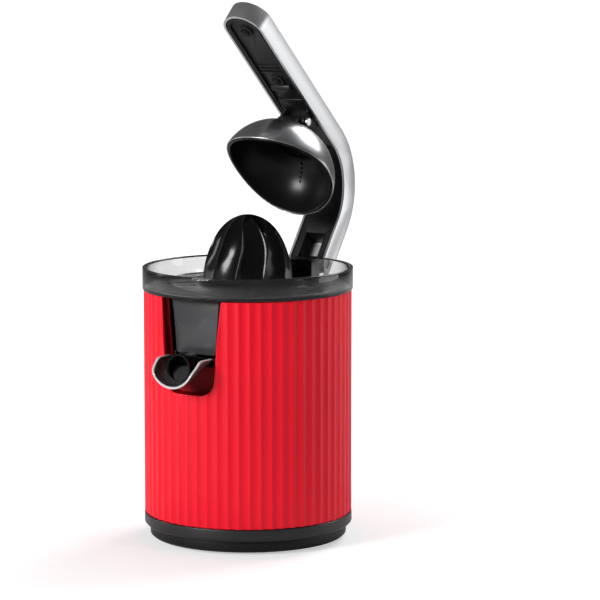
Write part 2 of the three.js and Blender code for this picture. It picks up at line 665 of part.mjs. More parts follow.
function domePin() {
  const heads = [-1, 1].map((side) => {
    const ends = [side * 12.9, side * 15];
    return crossRod(3.4, Math.min(...ends), Math.max(...ends), PIN_Y, PIN_Z);
  });
  return union(crossRod(2, -14, 14, PIN_Y, PIN_Z), heads);
}

piece('dome_bracket', domeBracket(), 'black', arm);
piece('dome_pin', domePin(), 'silver', arm);

// ---- dome, drawn upright about the centre of its rim ----------------------------------------------

// Quarter ellipse from the rim to the top, as a list of [radius, height].
function domeArc(radius, height, steps = 6) {
  return Array.from({ length: steps + 1 }, (_, i) => {
    const angle = (i * Math.PI) / (2 * steps);
    return [i === steps ? 0 : radius * Math.cos(angle), height * Math.sin(angle)];
  });
}

function domeCore(radius, height, segments = 36) {
  return turnedCore([[0, 0], ...domeArc(radius, height)], segments);
}

function hollowDome(radius, height, wall, segments) {
  const outer = domeArc(radius, height);
  const inner = domeArc(radius - wall, height - wall).reverse();
  return turnedCore([...inner, ...outer], segments);
}

// What lies under the dome's rim: the rim rises from its front and back towards both sides.
function underRim() {
  const steps = 12;
  const curve = Array.from({ length: steps + 1 }, (_, i) => {
    const x = -54 + (i * 108) / steps;
    return [x, DOME.rimRise * (x / DOME.radius) ** 2];
  });
  return extrudeY(polygon([...curve, [54, -20], [-54, -20]]), -60, 60);
}

const UNDER_RIM = underRim();
const SCREW_WAY = rod(2, 20, 49.3, 0, 0, 16);
const CUP = { radius: DOME.radius - DOME.sheet - GAP - 0.1, height: DOME.height - DOME.sheet - GAP - 0.1 };

function pressCup() {
  const bowl = hollowDome(CUP.radius, CUP.height, DOME.cupWall, 36).subtract(UNDER_RIM);
  const ring = turned([[18.5, 35], [20.3, 35], [20.3, 42], [18.5, 42]], 24);
  const boss = rod(5.5, 38, 44);
  const within = domeCore(CUP.radius - 0.5, CUP.height - 0.5);
  return bowl.add(union(ring, boss).intersect(within)).subtract(union(SCREW_WAY, rod(4, 20, 40.2, 0, 0, 20)));
}

function domeKnuckle() {
  const { radius, height, pinY, pinZ, barrel } = DOME;
  const saddle = domeCore(radius + 3.6, height + 4).intersect(box(-KNUCKLE_HALF, KNUCKLE_HALF, -22, 7, 20, 60));
  const neck = box(-KNUCKLE_HALF, KNUCKLE_HALF, pinY - barrel, pinY + barrel, 40, pinZ);
  const eye = crossRod(barrel, -KNUCKLE_HALF, KNUCKLE_HALF, pinY, pinZ);
  return union(saddle, neck, eye)
    .subtract(union(domeCore(radius + GAP, height + GAP), SCREW_WAY, crossRod(2 + GAP, -30, 30, pinY, pinZ)));
}

function domeShell() {
  return hollowDome(DOME.radius, DOME.height, DOME.sheet, 36).subtract(union(UNDER_RIM, SCREW_WAY));
}

piece('dome_shell', domeShell(), 'steel', dome);
piece('press_cup', pressCup(), 'black', dome);
piece('dome_knuckle', domeKnuckle(), 'black', dome);
piece('dome_screw', union(rod(3.6, 38.2, 39.9, 0, 0, 16), rod(1.6, 39.5, 49, 0, 0, 12)), 'steel', dome);

export default juicer;
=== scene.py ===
"""Citrus press juicer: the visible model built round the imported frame.

Shapes are worked out in millimetres and stored in metres. +Z is up and the spout faces -Y.
"""

import json
import math

import bmesh
import bpy
from mathutils import Matrix, Vector

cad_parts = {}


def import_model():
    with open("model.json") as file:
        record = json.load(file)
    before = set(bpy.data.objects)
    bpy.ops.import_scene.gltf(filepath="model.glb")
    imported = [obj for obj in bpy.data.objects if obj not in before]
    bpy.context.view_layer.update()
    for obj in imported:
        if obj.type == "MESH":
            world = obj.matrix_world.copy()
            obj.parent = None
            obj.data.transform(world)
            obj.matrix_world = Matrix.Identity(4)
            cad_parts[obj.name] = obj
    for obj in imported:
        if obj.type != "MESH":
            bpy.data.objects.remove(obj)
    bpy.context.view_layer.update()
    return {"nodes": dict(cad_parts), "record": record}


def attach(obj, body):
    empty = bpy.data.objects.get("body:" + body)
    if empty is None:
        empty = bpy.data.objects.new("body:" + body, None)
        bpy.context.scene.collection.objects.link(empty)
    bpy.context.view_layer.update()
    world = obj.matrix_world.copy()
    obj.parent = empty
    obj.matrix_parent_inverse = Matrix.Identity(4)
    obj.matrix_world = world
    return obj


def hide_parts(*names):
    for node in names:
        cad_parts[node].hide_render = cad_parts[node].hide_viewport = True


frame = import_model()

MM = 0.001
QUARTER = math.pi / 2
# In metres: points nearer than WELD are one point, and faces thinner than SLIVER are dropped.
WELD = 2e-6
SLIVER = 1e-6
WHITE = (1, 1, 1, 1)


# ---- mesh helpers ---------------------------------------------------------------------------------

def make(name, verts, faces):
    mesh = bpy.data.meshes.new(name)
    mesh.from_pydata([[c * MM for c in v] for v in verts], [], faces)
    obj = bpy.data.objects.new(name, mesh)
    bpy.context.scene.collection.objects.link(obj)
    return clean(obj)


def clean(obj):
    """Merges points that meet, drops faces with no area and turns the faces outward."""
    bm = bmesh.new()
    bm.from_mesh(obj.data)
    bmesh.ops.remove_doubles(bm, verts=bm.verts, dist=WELD)
    bmesh.ops.dissolve_degenerate(bm, edges=bm.edges, dist=SLIVER)
    bmesh.ops.recalc_face_normals(bm, faces=bm.faces)
    bm.to_mesh(obj.data)
    bm.free()
    return obj


def apply(obj):
    depsgraph = bpy.context.evaluated_depsgraph_get()
    mesh = bpy.data.meshes.new_from_object(obj.evaluated_get(depsgraph))
    obj.modifiers.clear()
    obj.data = mesh
    return obj


def boolean(obj, others, operation):
    for other in others:
        modifier = obj.modifiers.new("boolean", "BOOLEAN")
        modifier.operation = operation
        modifier.solver = "MANIFOLD"
        modifier.object = other
        apply(obj)
        bpy.data.objects.remove(other)
    return obj


def cut(obj, *others):
    return boolean(obj, others, "DIFFERENCE")


def join(obj, *others):
    return boolean(obj, others, "UNION")


def keep(obj, *others):
    return boolean(obj, others, "INTERSECT")


def flatten(obj, angle=0.4):
    """Turns coplanar triangles into whole faces, so that bevels run cleanly."""
    bm = bmesh.new()
    bm.from_mesh(obj.data)
    bmesh.ops.remove_doubles(bm, verts=bm.verts, dist=WELD)
    bmesh.ops.dissolve_limit(bm, angle_limit=math.radians(angle), verts=bm.verts, edges=bm.edges)
    bm.to_mesh(obj.data)
    bm.free()
    return obj


def smooth(obj, angle=35):
    obj.data.shade_smooth()
    obj.data.set_sharp_from_angle(angle=math.radians(angle))
    return obj


def soften(obj, width, segments=3, angle=32):
    """Rounds every edge sharper than angle by width, and shades the rest smooth."""
    flatten(obj)
    modifier = obj.modifiers.new("bevel", "BEVEL")
    modifier.width = width * MM
    modifier.segments = segments
    modifier.limit_method = "ANGLE"
    modifier.angle_limit = math.radians(angle)
    modifier.miter_outer = "MITER_ARC"
    modifier.use_clamp_overlap = True
    apply(obj)
    return smooth(obj)


def box(x0, x1, y0, y1, z0, z1):
    verts = [(x, y, z) for x in (x0, x1) for y in (y0, y1) for z in (z0, z1)]
    faces = [(0, 1, 3, 2), (4, 6, 7, 5), (0, 4, 5, 1), (2, 3, 7, 6), (0, 2, 6, 4), (1, 5, 7, 3)]
    return make("box", verts, faces)


def lathe(outline, segments=160, name="turned"):
    """A solid of revolution about Z. The outline is closed, as (radius, height)."""
    verts, faces = [], []
    count = len(outline)
    for i in range(segments):
        angle = 2 * math.pi * i / segments
        verts += [(r * math.cos(angle), r * math.sin(angle), z) for r, z in outline]
    for i in range(segments):
        a, b = i * count, (i + 1) % segments * count
        for j in range(count):
            k = (j + 1) % count
            if outline[j][0] <= 0 and outline[k][0] <= 0:
                continue
            faces.append((a + j, b + j, b + k, a + k))
    return make(name, verts, faces)


def rod(radius, z0, z1, x=0, y=0, segments=48):
    obj = lathe([(0, z0), (radius, z0), (radius, z1), (0, z1)], segments)
    obj.data.transform(Matrix.Translation((x * MM, y * MM, 0)))
    return obj


def round_rod(radius, z0, z1, edge, segments=48):
    return lathe(filleted([(0, z0, 0), (radius, z0, edge), (radius, z1, edge), (0, z1, 0)]), segments)


def across(obj, x, y, z):
    """Lays a turned solid along X and moves it."""
    obj.data.transform(Matrix.Translation((x * MM, y * MM, z * MM)) @ Matrix.Rotation(QUARTER, 4, "Y"))
    return obj


def cross_rod(radius, x0, x1, y, z, edge=0.0, segments=48):
    if edge:
        return across(round_rod(radius, x0, x1, edge, segments), 0, y, z)
    return across(rod(radius, x0, x1, segments=segments), 0, y, z)


def prism(points, axis, low, high):
    """A filled outline extruded along an axis. Points are the other two coordinates, in X, Y, Z order."""
    place = {
        "X": lambda p, d: (d, p[0], p[1]),
        "Y": lambda p, d: (p[0], d, p[1]),
        "Z": lambda p, d: (p[0], p[1], d),
    }[axis]
    n = len(points)
    verts = [place(p, low) for p in points] + [place(p, high) for p in points]
    faces = [tuple(range(n)), tuple(range(2 * n - 1, n - 1, -1))]
    faces += [(i, (i + 1) % n, n + (i + 1) % n, n + i) for i in range(n)]
    return make("prism", verts, faces)


def filleted(corners, steps=5):
    """Outline points of a polygon whose corners are (x, y, radius)."""
    points = []
    count = len(corners)
    for i, (x, y, radius) in enumerate(corners):
        here = Vector((x, y))
        back = Vector(corners[i - 1][:2]) - here
        on = Vector(corners[(i + 1) % count][:2]) - here
        if radius <= 0 or back.length < 1e-6 or on.length < 1e-6:
            points.append((x, y))
            continue
        half = back.angle(on) / 2
        if QUARTER - half < 0.01:
            points.append((x, y))
            continue
        reach = min(radius / math.tan(half), back.length * 0.49, on.length * 0.49)
        arc = reach * math.tan(half)
        centre = here + (back.normalized() + on.normalized()).normalized() * arc / math.sin(half)
        start = here + back.normalized() * reach - centre
        end = here + on.normalized() * reach - centre
        a0 = math.atan2(start.y, start.x)
        turn = (math.atan2(end.y, end.x) - a0 + math.pi) % (2 * math.pi) - math.pi
        for k in range(steps + 1):
            angle = a0 + turn * k / steps
            points.append((centre.x + arc * math.cos(angle), centre.y + arc * math.sin(angle)))
    return points


def arc_points(cx, cy, radius, start, end, steps):
    return [
        (cx + radius * math.cos(start + (end - start) * k / steps),
         cy + radius * math.sin(start + (end - start) * k / steps))
        for k in range(steps + 1)
    ]


# ---- materials ------------------------------------------------------------------------------------

def linear(red, green, blue):
    """An 8-bit screen colour as scene-linear RGBA."""
    def convert(v):
        v /= 255
        return v / 12.92 if v <= 0.04045 else ((v + 0.055) / 1.055) ** 2.4
    return (convert(red), convert(green), convert(blue), 1)


class Surface:
    """A Principled material whose colour, roughness and bump come from noise in object space."""

    def __init__(self, name, colour, roughness, **sockets):
        self.material = bpy.data.materials.new(name)
        self.material.use_nodes = True
        self.tree = self.material.node_tree
        self.shader = self.tree.nodes["Principled BSDF"]
        self.colour = colour
        self.shader.inputs["Base Color"].default_value = colour
        self.shader.inputs["Roughness"].default_value = roughness
        self.roughness = roughness
        for socket, value in sockets.items():
            self.shader.inputs[socket.replace("_", " ")].default_value = value
        self.place = self.tree.nodes.new("ShaderNodeTexCoord").outputs["Object"]
        self.height = None

    def link(self, a, b):
        self.tree.links.new(a, b)

    def noise(self, scale, detail=2.0, stretch=(1, 1, 1), distortion=0.0):
        mapping = self.tree.nodes.new("ShaderNodeMapping")
        mapping.inputs["Scale"].default_value = stretch
        self.link(self.place, mapping.inputs["Vector"])
        texture = self.tree.nodes.new("ShaderNodeTexNoise")
        texture.inputs["Scale"].default_value = scale
        texture.inputs["Detail"].default_value = detail
        texture.inputs["Distortion"].default_value = distortion
        self.link(mapping.outputs["Vector"], texture.inputs["Vector"])
        return texture.outputs["Fac"]

    def spread(self, value, low, high, start=0.3, end=0.7):
        node = self.tree.nodes.new("ShaderNodeMapRange")
        node.inputs["From Min"].default_value = start
        node.inputs["From Max"].default_value = end
        node.inputs["To Min"].default_value = low
        node.inputs["To Max"].default_value = high
        self.link(value, node.inputs["Value"])
        return node.outputs["Result"]

    def mottle(self, amount, scale=14, stretch=(1, 1, 1)):
        """The colour drifts slightly lighter and darker."""
        node = self.tree.nodes.new("ShaderNodeMix")
        node.data_type = "RGBA"
        dark = [c * (1 - amount) for c in self.colour[:3]] + [1]
        light = [min(1, c * (1 + amount)) for c in self.colour[:3]] + [1]
        node.inputs["A"].default_value = dark
        node.inputs["B"].default_value = light
        self.link(self.spread(self.noise(scale, 3, stretch), 0, 1), node.inputs["Factor"])
        self.link(node.outputs["Result"], self.shader.inputs["Base Color"])
        return self

    def polish(self, amount, scale=9, stretch=(1, 1, 1), detail=4):
        """The roughness drifts, as handling and moulding leave it."""
        low, high = max(0.02, self.roughness - amount), self.roughness + amount
        self.link(self.spread(self.noise(scale, detail, stretch), low, high), self.shader.inputs["Roughness"])
        return self

    def bump(self, strength, scale, stretch=(1, 1, 1), detail=2, distance=0.0002):
        node = self.tree.nodes.new("ShaderNodeBump")
        node.inputs["Strength"].default_value = strength
        node.inputs["Distance"].default_value = distance
        self.link(self.noise(scale, detail, stretch), node.inputs["Height"])
        if self.height:
            self.link(self.height, node.inputs["Normal"])
        self.height = node.outputs["Normal"]
        self.link(self.height, self.shader.inputs["Normal"])
        return self


def opaque_plastic(name, colour, roughness, coat=0.0):
    surface = Surface(name, colour, roughness, Coat_Weight=coat, Coat_Roughness=0.08)
    return surface.mottle(0.06).polish(0.04).bump(0.05, 900).bump(0.12, 26, distance=0.0006)


RED = Surface("red_gloss", (0.82, 0.0035, 0.02, 1), 0.34, Specular_IOR_Level=0.3).mottle(0.04) \
    .polish(0.04).bump(0.05, 900).bump(0.1, 26, distance=0.0006).material
# Painted shade: a much darker red for the walls of the spout recess, standing in for the shade that falls
# there.
RED_SHADE = Surface("red_painted_recess_shade", (0.2, 0.0012, 0.004, 1), 0.45, Specular_IOR_Level=0.08).mottle(0.05) \
    .polish(0.04).bump(0.05, 900).material
GRAPHITE = opaque_plastic("graphite_gloss", linear(28, 29, 29), 0.34, 0.05).material
PANEL = opaque_plastic("panel_satin", linear(58, 58, 60), 0.28, 0.2).material
BLACK_GLOSS = opaque_plastic("black_gloss", linear(12, 12, 13), 0.16, 0.2).material
CONE_BLACK = Surface("cone_black", linear(11, 11, 12), 0.17, Specular_IOR_Level=0.2).mottle(0.08) \
    .polish(0.03).bump(0.05, 900).material
BLACK_SATIN = Surface("black_satin", linear(16, 16, 17), 0.38, Specular_IOR_Level=0.3).mottle(0.12, 30) \
    .polish(0.05, 20).bump(0.25, 1500, detail=3).material
CUP_BLACK = Surface("cup_black", linear(17, 17, 17), 0.3, Specular_IOR_Level=0.2).mottle(0.08) \
    .polish(0.04).bump(0.05, 900).material
RUBBER = Surface("rubber", linear(24, 24, 24), 0.78).mottle(0.15, 60).polish(0.08, 40) \
    .bump(0.35, 1800, detail=4).material
SILVER = Surface("satin_silver", linear(222, 223, 225), 0.34, Metallic=1.0).mottle(0.02, 12) \
    .polish(0.015, 9).bump(0.02, 420, (6, 0.3, 0.3), 2).material
STEEL = Surface("polished_steel", linear(178, 179, 181), 0.3, Metallic=1.0).mottle(0.04, 10) \
    .polish(0.015, 24, (1, 1, 5)).bump(0.01, 500, (1, 1, 0.1), 2).material
MACHINED = Surface("machined_steel", linear(176, 178, 182), 0.28, Metallic=1.0).mottle(0.06, 40) \
    .polish(0.08, 90, (1, 1, 8)).bump(0.12, 900, (1, 1, 0.12), 3).material


ACRYLIC_IOR = 1.49
# Painted shade: the colour turns to this near-black where the surface is seen at a slant, between these
# facing values.
SLANT_SHADE = {"colour": (0.03, 0.03, 0.03, 1), "start": 0.5, "end": 0.92}


def smoked(name, colour, roughness, density):
    """Clear plastic, darker where the light's way through it is long, and with painted shade that darkens its
    colour where it is seen at a slant.
    """
    surface = Surface(name, colour, roughness, Transmission_Weight=1.0, IOR=ACRYLIC_IOR)
    surface.mottle(0.02, 18).polish(0.015, 12).bump(0.04, 40, distance=0.0006)
    slant = surface.tree.nodes.new("ShaderNodeLayerWeight")
    slant.inputs["Blend"].default_value = 0.5
    edge = surface.tree.nodes.new("ShaderNodeMix")
    edge.data_type = "RGBA"
    edge.inputs["B"].default_value = SLANT_SHADE["colour"]
    surface.link(surface.shader.inputs["Base Color"].links[0].from_socket, edge.inputs["A"])
    facing = surface.spread(slant.outputs["Facing"], 0, 1, SLANT_SHADE["start"], SLANT_SHADE["end"])
    surface.link(facing, edge.inputs["Factor"])
    surface.link(edge.outputs["Result"], surface.shader.inputs["Base Color"])
    smoke = surface.tree.nodes.new("ShaderNodeVolumeAbsorption")
    smoke.inputs["Color"].default_value = (0, 0, 0, 1)
    smoke.inputs["Density"].default_value = density
    surface.link(smoke.outputs["Volume"], surface.tree.nodes["Material Output"].inputs["Volume"])
    return surface.material


SMOKED = smoked("smoked_clear", WHITE, 0.04, 180)
RIM_SMOKE = opaque_plastic("smoked_edge", linear(30, 30, 31), 0.12, 0.1).material
# Painted highlight: light grey on the strip round the spout's lip, standing in for the glint on its rounded
# edge.
SPOUT_HIGHLIGHT_GREY = opaque_plastic("spout_painted_highlight", linear(196, 197, 199), 0.2, 0.3).material
# Painted shade: near-black for the spout nozzle and the liner screws, so they read as dark holes in shade.
SHADE_BLACK = Surface("painted_shade_black", linear(3, 3, 3), 0.35, Specular_IOR_Level=0.15).mottle(0.1) \
    .polish(0.05).bump(0.05, 900).material
SPOUT_SMOKE = Surface("smoked_dark", linear(70, 71, 72), 0.08, Transmission_Weight=0.4, IOR=ACRYLIC_IOR) \
    .mottle(0.06, 18).polish(0.02, 12).bump(0.04, 40, distance=0.0006).material
NYLON = Surface("natural_nylon", linear(232, 228, 214), 0.45, Subsurface_Weight=0.1).mottle(0.04, 50) \
    .polish(0.05, 60).bump(0.15, 1200).material
COPPER = Surface("wound_copper", linear(190, 110, 62), 0.35, Metallic=0.9).mottle(0.18, 220, (1, 1, 0.1)) \
    .bump(0.5, 600, (1, 1, 0.1), 2).material
BOARD = Surface("circuit_board", linear(26, 96, 52), 0.5, Coat_Weight=0.3).mottle(0.25, 240).polish(0.1, 80) \
    .bump(0.2, 700).material

SLOT_MATERIALS = {
    "red": RED, "graphite": GRAPHITE, "black": BLACK_SATIN, "smoked": SMOKED, "silver": SILVER,
    "steel": MACHINED, "rubber": RUBBER, "nylon": NYLON, "copper": COPPER, "board": BOARD,
}
SLOT_OF_NODE = {part["node"]: part["material_slot"] for part in frame["record"]["subparts"]}

for node_name, node in frame["nodes"].items():
    node.data.materials.clear()
    node.data.materials.append(SLOT_MATERIALS[SLOT_OF_NODE[node_name]])


def piece(obj, name, body, slot, material, *nodes):
    obj.name = name
    obj.data.name = name
    obj.data.materials.clear()
    obj.data.materials.append(material)
    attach(obj, body)
    if nodes:
        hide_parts(*nodes)
    return obj


def refined(node_name, body, material, width, angle=32, segments=2):
    """A CAD node's own shape with its edges rounded."""
    obj = bpy.data.objects.new("refined", frame["nodes"][node_name].data.copy())
    bpy.context.scene.collection.objects.link(obj)
    clean(obj)
    soften(obj, width, segments, angle)
    return piece(obj, node_name + "_finished", body, SLOT_OF_NODE[node_name], material, node_name)


# ---- camera and stage -----------------------------------------------------------------------------

CAMERA_DISTANCE = 2.4
CAMERA_AZIMUTH = math.radians(35)
CAMERA_HEIGHT = 0.5237
CAMERA_PITCH = math.radians(7.85)
CAMERA_TURN = math.radians(1.006)
FLOOR_HALF = 40
FLOOR_DROP = 0.0002
# The floor glows at this strength near the object and far from it, at these distances from its axis.
NEAR_GLOW, FAR_GLOW = 0.5, 1.0
NEAR, FAR_OFF = 0.09, 0.7
ROOM_STRENGTH = 0.12
BACKDROP_STRENGTH = 1.0

camera_data = bpy.data.cameras.new("camera")
camera_data.lens = 180
camera_data.sensor_width = 36
camera = bpy.data.objects.new("camera", camera_data)
camera.location = (
    CAMERA_DISTANCE * math.sin(CAMERA_AZIMUTH), -CAMERA_DISTANCE * math.cos(CAMERA_AZIMUTH), CAMERA_HEIGHT,
)
camera.rotation_euler = (QUARTER - CAMERA_PITCH, 0, CAMERA_AZIMUTH - CAMERA_TURN)
bpy.context.scene.collection.objects.link(camera)
bpy.context.scene.camera = camera
bpy.context.scene.view_settings.view_transform = "Standard"


def seen_directly(tree):
    """1 for what the camera sees straight or through clear plastic, 0 in reflections and bounce light."""
    path = tree.nodes.new("ShaderNodeLightPath")
    either = tree.nodes.new("ShaderNodeMath")
    either.operation = "MAXIMUM"
    tree.links.new(path.outputs["Is Camera Ray"], either.inputs[0])
    tree.links.new(path.outputs["Is Transmission Ray"], either.inputs[1])
    return either.outputs[0]


def floor_material():
    """Pale and matt, with a glow that only the camera sees and that is weaker round the object."""
    surface = Surface("pale_floor", linear(196, 196, 197), 0.75).mottle(0.01, 3).polish(0.05, 20)
    surface.shader.inputs["Emission Color"].default_value = WHITE
    reach = surface.tree.nodes.new("ShaderNodeVectorMath")
    reach.operation = "LENGTH"
    surface.link(surface.place, reach.inputs[0])
    glow = surface.tree.nodes.new("ShaderNodeMath")
    glow.operation = "MULTIPLY"
    surface.link(seen_directly(surface.tree), glow.inputs[0])
    surface.link(surface.spread(reach.outputs["Value"], NEAR_GLOW, FAR_GLOW, NEAR, FAR_OFF), glow.inputs[1])
    surface.link(glow.outputs[0], surface.shader.inputs["Emission Strength"])
    return surface.material


def lay_floor():
    half = FLOOR_HALF
    corners = [(-half, -half, 0), (half, -half, 0), (half, half, 0), (-half, half, 0)]
    mesh = bpy.data.meshes.new("floor")
    mesh.from_pydata(corners, [], [(0, 1, 2, 3)])
    floor = bpy.data.objects.new("floor", mesh)
    floor.location.z = -FLOOR_DROP
    mesh.materials.append(floor_material())
    bpy.context.scene.collection.objects.link(floor)


def white_background(node, strength):
    node.inputs["Color"].default_value = WHITE
    node.inputs["Strength"].default_value = strength
    return node.outputs[0]


def light_room():
    """A dim white room for reflections and bounce light, behind which the camera sees a white backdrop."""
    world = bpy.data.worlds.new("studio")
    bpy.context.scene.world = world
    world.use_nodes = True
    tree = world.node_tree
    room = white_background(tree.nodes["Background"], ROOM_STRENGTH)
    backdrop = white_background(tree.nodes.new("ShaderNodeBackground"), BACKDROP_STRENGTH)
    chooser = tree.nodes.new("ShaderNodeMixShader")
    tree.links.new(seen_directly(tree), chooser.inputs["Fac"])
    tree.links.new(room, chooser.inputs[1])
    tree.links.new(backdrop, chooser.inputs[2])
    tree.links.new(chooser.outputs[0], tree.nodes["World Output"].inputs["Surface"])


def softbox(name, location, target, width, height, power, mirrored=True):
    light = bpy.data.lights.new(name, "AREA")
    light.shape = "RECTANGLE"
    light.size = width
    light.size_y = height
    light.energy = power
    obj = bpy.data.objects.new(name, light)
    obj.location = location
    direction = Vector(target) - Vector(location)
    obj.rotation_euler = direction.to_track_quat("-Z", "Y").to_euler()
    obj.visible_camera = False
    obj.visible_glossy = mirrored
    bpy.context.scene.collection.objects.link(obj)


lay_floor()
light_room()
softbox("key", (-0.75, -2.4, 1.1), (0, 0, 0.15), 0.9, 0.7, 68)
softbox("back", (0.2, 1.65, 1.6), (0, 0.05, 0.3), 1.2, 0.8, 34)
softbox("edge", (2.4, 0.2, 0.6), (0, 0, 0.15), 0.35, 1.1, 14, mirrored=False)
softbox("side", (2.0, 1.9, 0.4), (0, 0.1, 0.3), 1.6, 0.9, 8.6)
softbox("left", (-2.2, -0.6, 0.7), (0, 0, 0.15), 0.4, 1.0, 8)

# ---- body shell -----------------------------------------------------------------------------------

SHELL = {
    "bottom": 21.3, "top": 202.0, "radius": 84.2, "wall": 2.0, "edge": 0.6,
    "flutes": 60, "depth": 1.1, "steps_per_flute": 12, "plain_rows": (50, 85, 110),
}
BAY = {
    "top_half": 28.4, "mid_half": 24.6, "mid_height": 158.0, "bottom": 127.0, "corner": 12.0, "back": -72.0,
    "cove": 2.0, "plate_top": 149.8, "shade_depth": 2.6,
}
GLAND_BORE = {"radius": 5.4, "z": 34.0, "start": 78.0, "end": 90.0}
FILLET = 0.9
BAY_LEAN = (BAY["top_half"] - BAY["mid_half"]) / (SHELL["top"] - BAY["mid_height"])
CORNER_Z = BAY["bottom"] + BAY["corner"]
CORNER_X = BAY["mid_half"] - BAY_LEAN * (BAY["mid_height"] - CORNER_Z) - BAY["corner"]
COLUMNS = SHELL["flutes"] * SHELL["steps_per_flute"]


def flute_radius(azimuth):
    """Azimuth is measured from the front, -Y, and a ridge lies exactly there."""
    share = (azimuth * SHELL["flutes"] / (2 * math.pi)) % 1
    return SHELL["radius"] - SHELL["depth"] * 4 * share * (1 - share)


def on_skin(azimuth, z, inset=0.0):
    radius = flute_radius(azimuth) - inset
    return (radius * math.sin(azimuth), -radius * math.cos(azimuth), z)


def azimuth_at(x):
    """The azimuth in the front quarter at which the skin has this X, found by repeated correction."""
    azimuth = math.asin(x / SHELL["radius"])
    for _ in range(12):
        azimuth = math.asin(x / flute_radius(azimuth))
    return azimuth


def column_azimuth(column):
    return 2 * math.pi * (column + 0.5) / COLUMNS - math.pi


def bay_rows(corner_steps=16, side_steps=26):
    """Rows of the bay's widened outline: (height, half width, outward normal in X and Z)."""
    rows = []
    radius = BAY["corner"] + FILLET
    for k in range(1, corner_steps + 1):
        angle = QUARTER * k / corner_steps
        normal = (math.sin(angle), -math.cos(angle))
        rows.append((CORNER_Z - radius * math.cos(angle), CORNER_X + radius * math.sin(angle), normal))
    norm = math.hypot(1, BAY_LEAN)
    for k in range(1, side_steps + 1):
        z = CORNER_Z + (SHELL["top"] - CORNER_Z) * k / side_steps
        half = CORNER_X + BAY["corner"] + BAY_LEAN * (z - CORNER_Z) + FILLET * norm
        rows.append((z, half, (1 / norm, -BAY_LEAN / norm)))
    return rows


def skin_rows(outline):
    """Rows of the fluted skin from the foot up: (height, inset, half width of the bay or None)."""
    edge = SHELL["edge"]
    rows = []
    for step in range(4):
        angle = QUARTER * step / 3
        rows.append((SHELL["bottom"] + edge * (1 - math.cos(angle)), edge * (1 - math.sin(angle)), None))
    rows += [(z, 0.0, None) for z in SHELL["plain_rows"]]
    rows.append((BAY["bottom"] - FILLET, 0.0, None))
    return rows + [(z, 0.0, half) for z, half, _ in outline]


def fluted_skin(rows):
    """The outer skin with the bay left open; its columns gather on the bay's outline."""
    verts, faces, gathered = [], [], []
    for z, inset, half in rows:
        limit = azimuth_at(half) if half else 0
        for i in range(COLUMNS):
            azimuth = column_azimuth(i)
            inside = abs(azimuth) < limit
            gathered.append(inside)
            verts.append(on_skin(math.copysign(limit, azimuth) if inside else azimuth, z, inset))
    for j in range(len(rows) - 1):
        for i in range(COLUMNS):
            a, b = j * COLUMNS + i, j * COLUMNS + (i + 1) % COLUMNS
            c, d = b + COLUMNS, a + COLUMNS
            if not (gathered[c] and gathered[d]):
                faces.append((a, b, c, d))
    return verts, faces


def bay_loop(outline):
    """The bay's outline from top left round the bottom to top right: (x, z, outward normal)."""
    first = azimuth_at(outline[0][1])
    low = [on_skin(column_azimuth(i), BAY["bottom"] - FILLET) for i in range(COLUMNS)
           if abs(column_azimuth(i)) < first]
    loop = [(-half, z, (-normal[0], normal[1])) for z, half, normal in reversed(outline)]
    loop += [(x, z, (0.0, -1.0)) for x, _, z in low]
    return loop + [(half, z, normal) for z, half, normal in outline]


def bay_profile():
    """The bay's side wall from the skin to the back plate: (way in, share of the skin's Y, Y added)."""
    cove = BAY["cove"]
    wall_end = BAY["back"] - cove
    angles = [QUARTER * k / 5 for k in range(6)]
    profile = [(FILLET * math.sin(a), 1, FILLET * (1 - math.cos(a))) for a in angles]
    profile += [(FILLET, 1 - share, FILLET * (1 - share) + wall_end * share) for share in (0.35, 0.7)]
    profile += [(FILLET + cove * (1 - math.cos(a)), 0, wall_end + cove * math.sin(a)) for a in angles]
    return profile


def body_shell():
    outline = bay_rows()
    verts, faces = fluted_skin(skin_rows(outline))
    loop = bay_loop(outline)
    profile = bay_profile()
    start = len(verts)
    for inward, share, added in profile:
        for x, z, normal in loop:
            px = x - normal[0] * inward
            azimuth = azimuth_at(px)
            skin_y = -flute_radius(azimuth) * math.cos(azimuth)
            verts.append((px, skin_y * share + added, z - normal[1] * inward))
    size = len(loop)
    for j in range(len(profile) - 1):
        for i in range(size - 1):
            a = start + j * size + i
            faces.append((a, a + 1, a + 1 + size, a + size))
    last = start + (len(profile) - 1) * size
    faces.append(tuple(last + i for i in range(size) if verts[last + i][2] <= BAY["plate_top"]))
    obj = make("body", verts, faces)
    side = Vector((SHELL["radius"], 0, 60)) * MM
    probe = min(obj.data.polygons, key=lambda polygon: (polygon.center - side).length)
    if probe.normal.x < 0:
        obj.data.flip_normals()
    modifier = obj.modifiers.new("wall", "SOLIDIFY")
    modifier.thickness = SHELL["wall"] * MM
    modifier.offset = -1
    apply(obj)
    bore = cross_rod(GLAND_BORE["radius"], GLAND_BORE["start"], GLAND_BORE["end"], 0, GLAND_BORE["z"])
    bore.data.transform(Matrix.Rotation(QUARTER, 4, "Z"))
    cut(obj, bore)
    return smooth(obj, 60)


fluted_body = piece(body_shell(), "fluted_body", "housing", "red", RED, "body_shell")
# Faces set in from the skin, the spout recess's walls, take the darker red: painted shade.
fluted_body.data.materials.append(RED_SHADE)
for polygon in fluted_body.data.polygons:
    if polygon.center.xy.length < (SHELL["radius"] - BAY["shade_depth"]) * MM:
        polygon.material_index = 1

# ---- base -----------------------------------------------------------------------------------------

BASE = {"bore": 62.0, "bottom": 11.3, "foot_radius": 82.4, "shoulder": 13.2, "top": 21.0}


def base_band():
    bore, bottom, top, radius = BASE["bore"], BASE["bottom"], BASE["top"], SHELL["radius"]
    return smooth(lathe(filleted([
        (bore, bottom, 0), (BASE["foot_radius"], bottom, 0.6), (radius, BASE["shoulder"], 1.0),
        (radius, top, 0.7), (bore, top, 0),
    ]), 192))


